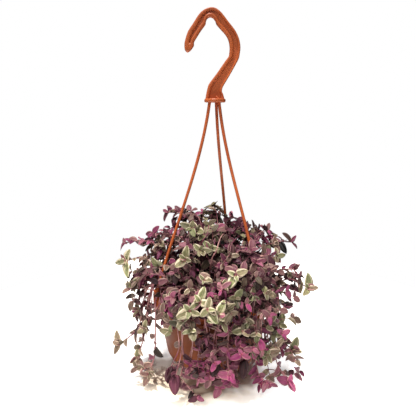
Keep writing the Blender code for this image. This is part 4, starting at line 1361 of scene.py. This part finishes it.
def rosette(rng, tip, heading, look, count, grow, droop=0.0):
    """Leaves round a growing tip: each a golden turn on from the last, smaller and steeper inwards.

    With droop they hang straight down, close together.
    """
    axis = heading * 0.35 + AXIS * (0.6 - 2.6 * droop) + (outwards(tip) * 0.5 + TO_LIGHT) * (1 - droop)
    axis = unit(axis + rng.normal(size=3) * 0.22)
    cup = rng.uniform(0.05, 0.5)
    first = unit(np.cross(axis, (0.3, 0.2, 1.0)))
    second = np.cross(axis, first)
    rows = []
    start = rng.uniform(0, 6.28)
    for index in range(count):
        turn = start + math.radians(GOLDEN_TURN) * index
        out = first * math.cos(turn) + second * math.sin(turn)
        steep = cup + 0.9 * index / count + 3 * droop
        rib = unit(out + axis * steep)
        face = unit(axis - out * steep)
        size = grow * (0.98 - 0.6 * index / count) * rng.uniform(0.9, 1.1)
        rows.append(blade_row(rng, tip + axis * 0.3 * MM * index, rib, face, size, look))
    return rows


def side_shoots(rng, curve, count, longest):
    """Short shoots from the joints of a stem: start + d L t + b t^2, bent up or down with the stem."""
    total = length_of(curve)
    lines = []
    for share in np.linspace(*SHOOT_SHARES, count) + rng.uniform(-0.05, 0.05, count):
        place, heading = place_on(curve, total * share, HEADING_STEP)
        facing = sky_side(place, heading, 0.0)
        ahead, out = (0.25, 0.7) if heading[2] < -0.3 else (0.55, 0.3)
        for _ in range(SHOOT_TRIES):
            sideways = square_to(unit(rng.normal(size=3)), heading)
            go = unit(heading * ahead + sideways * 0.9 + facing * out)
            length = rng.uniform(SHORTEST_SHOOT, longest) * MM
            t = np.linspace(0, 1, 12)[:, None]
            bend = AXIS * rng.uniform(-0.25, 0.25) * length
            line = place + go * length * t + bend * t**2
            low_enough = line[-1, 2] < mound_top(line[-1]) + ABOVE_MOUND
            if low_enough and has_room(line[3:], SHOOT_ROOM).all():
                lines.append(line)
                break
    return lines


def stalk(line, radii, sides):
    """A tube's points and faces, its ends closed by fans on single points."""
    grid = tube(line, radii, sides)
    rings = len(line)
    points = np.vstack((grid[1:-1].reshape(-1, 3), grid[0, :1], grid[-1, :1]))
    faces = grid_faces(grid[1:-1])[:, ::-1].tolist()
    start = rings * sides
    for column in range(sides):
        after = (column + 1) % sides
        faces.append((start, after, column))
        faces.append((start + 1, (rings - 1) * sides + column, (rings - 1) * sides + after))
    return points, faces


def in_columns(rows):
    """The rows of blade_row as one array for each of the blade's sizes."""
    return {key: np.array(values) for key, values in zip(BLADE_SIZES, zip(*rows))}


def leafy_piece(name, stalks, rows, kept=0, nodes=()):
    """One piece of stalks and of those blades that are clear of everything.

    The first `kept` blades are always there. Each blade has its UV map and its look; the x of its
    UV map counts the blades, so that no two have the same streaks.
    """
    clear = has_room(blades(in_columns(rows))[:, ::3]).all(axis=1)
    clear[:kept] = True
    leaves = in_columns([row for row, free in zip(rows, clear) if free])
    leaf_points = blades(leaves)
    count, per_leaf = leaf_points.shape[:2]
    points = [leaf_points.reshape(-1, 3)]
    faces = []
    slots = []
    for material_slot, side in enumerate((UPPER_FACES, LOWER_FACES)):
        for first in range(0, count * per_leaf, per_leaf):
            faces += [tuple(corner + first for corner in face) for face in side]
        slots += [material_slot] * (count * len(side))
    total = count * per_leaf
    for line, radii, sides in stalks:
        stalk_points, stalk_faces = stalk(line, radii, sides)
        faces += [tuple(corner + total for corner in face) for face in stalk_faces]
        slots += [2] * len(stalk_faces)
        points.append(stalk_points)
        total += len(stalk_points)
    mesh = bpy.data.meshes.new(name)
    mesh.from_pydata(np.vstack(points).tolist(), [], faces)
    for material in (leaf_upper, leaf_under, stem_material):
        mesh.materials.append(material)
    mesh.polygons.foreach_set("material_index", slots)
    mesh.shade_smooth()
    looks = np.zeros((total, 4))
    looks[: count * per_leaf] = np.repeat(leaves["look"], per_leaf, axis=0)
    mesh.attributes.new("leaf_look", "FLOAT_COLOR", "POINT").data.foreach_set("color", looks.ravel())
    uv = np.zeros((total, 2))
    across = 0.5 + 0.48 * BLADE_FLAT[:, 1]
    uv[: count * per_leaf, 0] = (np.arange(count)[:, None] + across).ravel()
    uv[: count * per_leaf, 1] = np.tile(BLADE_FLAT[:, 0], count)
    corners = np.zeros(len(mesh.loops), dtype=np.int32)
    mesh.loops.foreach_get("vertex_index", corners)
    mesh.uv_layers.new(name="blade").data.foreach_set("uv", uv[corners].ravel())
    piece = on_root(name, mesh)
    if nodes:
        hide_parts(*nodes)


def with_joints(curve, joints, thick, thin, sides):
    """A stalk's stations, its radii and how many sides it has.

    The stations are about 1.6 mm apart. The radii taper, and swell at each joint by a bell curve.
    """
    total = length_of(curve)
    stations = np.linspace(0, total, max(6, int(total / STATION_STEP)))
    radii = np.linspace(thick, thin, len(stations))
    for joint in joints:
        radii += JOINT_SWELL * np.exp(-(((stations - joint) / JOINT_REACH) ** 2))
    return points_at(curve, stations), radii, sides


def end_rosette(rng, curve, look, count, grow, droop=0.0):
    return rosette(rng, curve[-1], unit(curve[-1] - curve[-5]), look, count, grow, droop)


def grow_shoots(rng, curve, letter, shoots, longest, grow, curl):
    """A stem's rosette, and its side shoots with their leaves, as stalks and leaf rows."""
    look = LOOKS[letter]
    count, size = ROSETTES[letter]
    if letter == "D" and curve[-1, 2] < TRAILING_TIP_Z:
        rows = end_rosette(rng, curve, look, count, 1.5 * size * grow, droop=1.0)
    else:
        rows = end_rosette(rng, curve, look, count, size * grow)
    shown = aged(look, (0.6 if letter in "CG" else 0.3) * YOUNG_LENGTH)
    stalks = []
    for line in side_shoots(rng, curve, shoots, longest):
        stalks.append((line, np.linspace(SHOOT_THICK, 0.6 * SHOOT_THICK, len(line)), SHOOT_SIDES))
        rows += ranked_leaves(rng, line, 1.5 * MM, shown, 3 * MM, grow=0.92 * grow, curl=curl)
        rows += rosette(rng, line[-1], unit(line[-1] - line[-2]), shown, 2, 0.8 * grow)
    return stalks, rows


for index, stem in enumerate(plan_stems(), start=1):
    node = f"leafy_stem_{index:02d}"
    rng = np.random.default_rng(500 + index)
    number = stem["number"]
    letter = TIP_LOOKS[number] if number < len(TIP_LOOKS) else BACK_LOOKS[number % 4]
    look = LOOKS[letter]
    curve = curve_through(stem["line"])
    along = distances_along(curve)
    coarse = distances_along(stem["line"])
    # The leaves of stems that stand free are larger and further apart, most of all on the right,
    # and keep their young colours for longer.
    trails = curve[-1, 2] < TRAILING_TIP_Z
    at_side = abs(curve[-1, 0]) > (FREE_TRAIL_REACH if trails else FREE_REACH)
    if at_side:
        grow, apart, fade, curl = 1.2, 1.75, 0.5, 0.45
    else:
        grow, apart, fade, curl = 1.12, 1.1, 1.0, 0.0 if letter in "CGT" else 0.8 if trails else 0.4
    if curve[-1, 0] > FREE_REACH:
        apart = 2.3
    rows = []
    taken = []
    for (place, rib, across, face), size, here in stem["leaves"]:
        step = np.interp(here, coarse, np.arange(len(coarse))) * CURVE_STEPS
        spot = np.interp(step, np.arange(len(along)), along)
        taken.append(spot)
        back = along[-1] - spot
        shown = aged(look, fade * back)
        folded = max(0.5 * min(1.0, back / OLD_AGE), curl)
        rows.append(blade_row(rng, points_at(curve, [spot])[0], rib, face, size, shown, folded))
    kept = len(rows)
    rows += ranked_leaves(rng, curve, 2.5 * MM, look, 24 * MM, taken, grow, curl, apart, fade)
    shoot_count = 0 if letter == "C" else int(rng.integers(1, 4 if at_side and trails else 3))
    shoots, shoot_rows = grow_shoots(rng, curve, letter, shoot_count, 28, grow - 0.1, curl)
    joints = taken + list(np.arange(0.3, 1, 0.12) * along[-1])
    stalks = [with_joints(curve, joints, STEM_THICK_END, STEM_THIN_END, STEM_SIDES)] + shoots
    leafy_piece(f"callisia_{node}", stalks, rows + shoot_rows, kept, (node,))


# Crown growth. Younger stems stand close together all over the mound and carry most of its small
# leaves. The tips listed one by one in front are green and cream, the others mostly purple and tan.
CROWN_STEMS = 72
CROWN_PIECES = 4
CROWN_RADIUS = 92 * MM
CROWN_RIGHT_SHARE = 0.78
CROWN_LEAFY = 62 * MM
CROWN_THICK = 0.75 * MM
YOUNG_THIN = 0.5 * MM
YOUNG_JOINTS = np.arange(0.4, 1, 0.1)
# How often each look comes on a part of the mound.
MIXES = {"front": "PPTPOPMPTD", "right": "PPTPMPOPMD", "left": "MPMGTMPMTP", "top": "PPOPPMPPMD"}
# The young tips that show best, most of them in front: x, y and z in mm, and their look.
SHOWN_TIPS_MM = (
    (-24, -86, 104, "C"), (-6, -92, 108, "C"), (-30, -86, 94, "G"), (-22, -88, 84, "G"),
    (14, -84, 104, "O"), (-44, -62, 106, "T"), (-10, -66, 128, "B"),
    (-14, -42, 152, "G"), (-24, -24, 172, "G"), (28, -84, 82, "G"), (40, -76, 84, "G"), (36, -60, 122, "P"),
    (-60, -42, 86, "T"), (-52, -58, 82, "P"), (-68, -22, 82, "P"), (-44, -72, 74, "G"), (-52, -66, 92, "T"),
    (44, -52, 142, "P"), (50, -58, 126, "P"), (40, -46, 154, "P"), (54, -62, 112, "G"), (47, -58, 134, "P"),
    (-43, -85, 44, "D"), (-38, -88, 36, "D"), (12, 30, 176, "O"), (18, 24, 171, "P"), (7, 34, 181, "O"),
    (54, -66, 78, "G"), (64, -54, 88, "T"), (62, -60, 66, "O"), (70, -46, 56, "T"), (56, -70, 48, "G"),
)


def crown_mix(place):
    """The mix of looks at a place on the mound, by its side and by how far in front it is."""
    x, y = place[:2] / MM
    if x > 48:
        return MIXES["right"]
    if x < -52:
        return MIXES["left"]
    return MIXES["front"] if y < -22 else MIXES["top"]


def picked(rng, mix):
    return mix[int(rng.integers(len(mix)))]


def grow_young(grown, rng, curve, letter, thick, longest, shoot_grow, shoot_curl, bare, **leaves):
    """Adds a young stem to a piece's stalks and rows: its leaves, its rosette and one or two shoots.

    With no length for the longest, it has no shoots.
    """
    stalks, rows = grown
    joints = YOUNG_JOINTS * length_of(curve)
    stalks.append(with_joints(curve, joints, thick, YOUNG_THIN, SHOOT_SIDES))
    rows += ranked_leaves(rng, curve, 2 * MM, LOOKS[letter], bare, **leaves)
    shoot_count = int(rng.integers(1, 3)) if longest else 0
    shoots, shoot_rows = grow_shoots(rng, curve, letter, shoot_count, longest, shoot_grow, shoot_curl)
    stalks += shoots
    rows += shoot_rows


crown_rng = np.random.default_rng(2024)
crown = [([], []) for _ in range(CROWN_PIECES)]
crown_tips = [(np.array(place) * MM, letter) for *place, letter in SHOWN_TIPS_MM]
for index in range(CROWN_STEMS):
    tip = round_point(CROWN_RADIUS * ((index + 0.5) / CROWN_STEMS) ** 0.45, index * GOLDEN_TURN + 17, 0)
    tip[0] *= CROWN_RIGHT_SHARE if tip[0] > 0 else 1.0
    tip[2] = mound_top(tip) * crown_rng.uniform(0.84, 1.0)
    crown_tips.append((tip, picked(crown_rng, crown_mix(tip))))
for index, (tip, letter) in enumerate(crown_tips):
    radius = math.hypot(tip[0], tip[1])
    azimuth = math.degrees(math.atan2(tip[0], -tip[1]))
    root_radius = min(0.55 * radius + 4 * MM, ROOT_FIELD_RADIUS)
    root = round_point(root_radius, azimuth + crown_rng.uniform(-40, 40), soil_height(root_radius))
    curve = curve_through(stem_route(root, tip, crown_rng, 0))
    grow_young(
        crown[index % CROWN_PIECES], crown_rng, curve, letter, CROWN_THICK,
        longest=20 if index >= len(SHOWN_TIPS_MM) else 0, shoot_grow=1.0, shoot_curl=0.3,
        bare=max(14 * MM, length_of(curve) - CROWN_LEAFY),
        grow=1.02, curl=0.0 if letter in "CG" else 0.3, apart=1.3,
    )
for piece_index, (stalks, rows) in enumerate(crown, start=1):
    leafy_piece(f"crown_growth_{piece_index}", stalks, rows)


# Bare stems. A few old stems on the mound have dropped their leaves, but for a small tuft at the
# tip. They root in the soil and arch out over the leaves.
BARE_STEMS_MM = (
    ((-3, -24, 80), (-4, -36, 118), (-2, -50, 145), (3, -50, 155), (7, -40, 165), (14, -31, 172)),
    ((8, -22, 80), (14, -36, 112), (10, -50, 139), (16, -52, 150), (19, -43, 160), (29, -32, 167)),
    ((14, -20, 80), (20, -38, 104), (28, -55, 131), (29, -56, 140), (38, -48, 148)),
    ((-10, -20, 80), (-16, -26, 124), (-13, -39, 158), (-7, -36, 168), (-5, -25, 176)),
    ((-14, -22, 80), (-28, -38, 110), (-37, -52, 132), (-30, -49, 147), (-27, -38, 157)),
)
bare_rng = np.random.default_rng(35)
bare_stalks = []
bare_rows = []
for points, letter in zip(BARE_STEMS_MM, "POPOP"):
    curve = curve_through(np.array(points) * MM)
    joints = np.arange(0.2, 1, 0.1) * length_of(curve)
    bare_stalks.append(with_joints(curve, joints, CROWN_THICK, YOUNG_THIN, 6))
    bare_rows += end_rosette(bare_rng, curve, LOOKS[letter], 3, 0.9)
leafy_piece("bare_stems", bare_stalks, bare_rows)


# Trailing growth. Thin side stems hang over the rim among the long ones, thickest in front, where
# they cross one another and carry small magenta leaves.
TRAIL_ARCS = {
    # First and last azimuth, how many stems, lowest and highest tip, nearest and furthest tip, and
    # how often each look comes.
    "front": (-19, 27, 22, 13, 80, 73, 88, "MDPMDMDPM"),
    "corner": (29, 48, 8, 18, 80, 74, 90, "TGOPTGM"),
    "right": (50, 80, 3, 26, 78, 80, 92, "TGTOMP"),
    "left": (-90, -60, 2, 34, 78, 80, 92, "TGPT"),
    "back": (138, 222, 13, 20, 72, 84, 100, "PGPM"),
}
TRAIL_THICK = 0.7 * MM
TRAIL_BARE = 30 * MM

trail_rng = np.random.default_rng(909)
for name, (first, last, count, low, high, near, far, mix) in TRAIL_ARCS.items():
    stalks = []
    rows = []
    for azimuth in np.linspace(first, last, count):
        azimuth += trail_rng.uniform(-3, 3)
        tip = round_point(trail_rng.uniform(near, far) * MM, azimuth, trail_rng.uniform(low, high) * MM)
        root_azimuth = azimuth + trail_rng.uniform(-14, 14)
        root = round_point(ROOT_FIELD_RADIUS, root_azimuth, soil_height(ROOT_FIELD_RADIUS))
        letter = picked(trail_rng, mix)
        curve = curve_through(stem_route(root, tip, trail_rng, trail_rng.uniform(-2, 2)))
        grow_young(
            (stalks, rows), trail_rng, curve, letter, TRAIL_THICK,
            longest=24, shoot_grow=0.92, shoot_curl=0.9, bare=TRAIL_BARE, grow=0.96, curl=0.9, apart=1.4,
        )
    leafy_piece(f"trailing_growth_{name}", stalks, rows)


# Inner growth. Short old shoots fill the mound between the long stems. They get little light; their
# leaves are dark purple and grey-green and low in tone, which is partly painted shade.
INNER_STEMS = 36
INNER_PIECES = 2
INNER_RADIUS = 56 * MM
INNER_HEIGHT = 86 * MM
INNER_THICK = 0.8 * MM
# Dark looks of low tone: partly painted shade for the mound's inside.
INNER_LOOKS = "DDPO"

inner_rng = np.random.default_rng(77)
for piece_index in range(INNER_PIECES):
    stalks = []
    rows = []
    for index in range(piece_index, INNER_STEMS, INNER_PIECES):
        radius = INNER_RADIUS * math.sqrt((index + 0.5) / INNER_STEMS)
        root = round_point(radius, index * GOLDEN_TURN + 40, soil_height(radius) - 2 * MM)
        height = (INNER_HEIGHT - 0.9 * radius) * inner_rng.uniform(0.5, 0.95)
        outward = outwards(root)
        sway = inner_rng.normal(size=3) * 9 * MM
        middle = root + AXIS * 0.5 * height + outward * 4 * MM + sway
        tip = root + AXIS * height + outward * (6 * MM + 0.3 * radius) - sway * 0.5
        curve = curve_through((root, middle, tip))
        look = LOOKS[INNER_LOOKS[index % len(INNER_LOOKS)]]
        stalks.append(with_joints(curve, [], INNER_THICK, YOUNG_THIN, SHOOT_SIDES))
        rows += ranked_leaves(inner_rng, curve, 2 * MM, look, 12 * MM)
        rows += end_rosette(inner_rng, curve, look, 4, 0.8)
    leafy_piece(f"inner_growth_{piece_index + 1}", stalks, rows)


# Table and light. A white table in a white room, with a painted reflection just in front of the pot:
# a cream oval for the plastic's colour thrown on it. Away from the pot the table glows, which is
# painted light. A lamp almost straight above throws the leaf shadows, and a weaker and wider one
# shines from the front.
TABLE_RADIUS = 0.42
TABLE_LEVEL = -0.1 * MM
TABLE_RINGS = 14
TABLE_WHITE = (0.76, 0.72, 0.67)
# A painted reflection: the pot's colour thrown on the table in front of it, as a cream oval in the table's
# colour and in its glow.
REFLECTED_CREAM = (0.76, 0.64, 0.48)
CREAM_PLACE = (-0.03, -0.055, 0.0)
CREAM_SIZE = (0.07, 0.036, 1.0)
REFLECTED_CREAM_GLOW = (1.0, 0.9, 0.74)
# Painted light: outside this oval, ragged at its edge, the table glows.
DAPPLED_PLACE = (-0.01, -0.02, 0.0)
DAPPLED_SIZE = (0.09, 0.053, 1.0)
PAINTED_GLOW_STRENGTH = 0.9
FILL_FROM = (-0.15, -0.45, 0.88)
FILL_WEAK = 0.05
FILL_STRONG = 0.32
LAMP_WARMTH = (1.0, 0.96, 0.91)
# Each lamp: where it shines from, its energy and how wide it looks, in degrees.
LAMPS = {"high lamp": ((-0.14, -0.13, 1.0), 3.9, 2.2), "front lamp": ((-0.3, -0.8, 0.85), 1.2, 9)}

table_material, table_tree, table_shader, table_place = new_material("white table", 0.75)
ripple = range_of(table_tree, noise_of(table_tree, table_place, 22, 3), 0.3, 0.7, -0.25, 0.25)


def around(middle, size):
    """How far a place on the table is from an oval's middle, 1 on its edge, a little ragged."""
    centred = table_tree.nodes.new("ShaderNodeMapping")
    centred.vector_type = "TEXTURE"
    centred.inputs["Location"].default_value = middle
    centred.inputs["Scale"].default_value = size
    table_tree.links.new(table_place, centred.inputs["Vector"])
    away = table_tree.nodes.new("ShaderNodeVectorMath")
    away.operation = "LENGTH"
    table_tree.links.new(centred.outputs[0], away.inputs[0])
    return math_of(table_tree, "ADD", away.outputs["Value"], ripple)


# Painted reflection: a cream oval just in front of the pot.
painted_reflection_share = range_of(table_tree, around(CREAM_PLACE, CREAM_SIZE), 0.5, 1.3, 0.9, 0.0)
table_colour = blend_of(table_tree, painted_reflection_share, TABLE_WHITE, REFLECTED_CREAM)
feed(table_tree, table_shader.inputs["Base Color"], table_colour)
# Past the dappled part in front the table glows, which is painted light, so that no shadow shows on it.
painted_glow_colour = blend_of(table_tree, painted_reflection_share, (1, 1, 1), REFLECTED_CREAM_GLOW)
feed(table_tree, table_shader.inputs["Emission Color"], painted_glow_colour)
painted_glow = range_of(table_tree, around(DAPPLED_PLACE, DAPPLED_SIZE), 0.68, 1.2, 0.0, PAINTED_GLOW_STRENGTH)
feed(table_tree, table_shader.inputs["Emission Strength"], painted_glow)
table_rings = [(radius, TABLE_LEVEL) for radius in np.linspace(0, TABLE_RADIUS, TABLE_RINGS)]
table = add_piece("table", turned(np.array(table_rings)), table_material)

# The room is plain white to the eye; the light it gives comes mostly from the front and above.
world = bpy.data.worlds.new("white room")
world.use_nodes = True
sky = world.node_tree
direction = sky.nodes.new("ShaderNodeTexCoord")
towards = sky.nodes.new("ShaderNodeVectorMath")
towards.operation = "DOT_PRODUCT"
towards.inputs[1].default_value = FILL_FROM
sky.links.new(direction.outputs["Generated"], towards.inputs[0])
fill = range_of(sky, towards.outputs["Value"], -0.6, 0.9, FILL_WEAK, FILL_STRONG)
seen = sky.nodes.new("ShaderNodeLightPath")
backdrop = sky.nodes["Background"]
feed(sky, backdrop.inputs["Strength"], math_of(sky, "MAXIMUM", fill, seen.outputs["Is Camera Ray"]))
backdrop.inputs["Color"].default_value = (1, 1, 1, 1)
bpy.context.scene.world = world
bpy.context.scene.view_settings.view_transform = "Standard"

for name, (shines_from, energy, width) in LAMPS.items():
    lamp_data = bpy.data.lights.new(name, "SUN")
    lamp_data.energy = energy
    lamp_data.color = LAMP_WARMTH
    lamp_data.angle = math.radians(width)
    lamp = bpy.data.objects.new(name, lamp_data)
    lamp.rotation_mode = "QUATERNION"
    lamp.rotation_quaternion = mathutils.Vector(shines_from).to_track_quat("Z", "Y")
    bpy.context.scene.collection.objects.link(lamp)
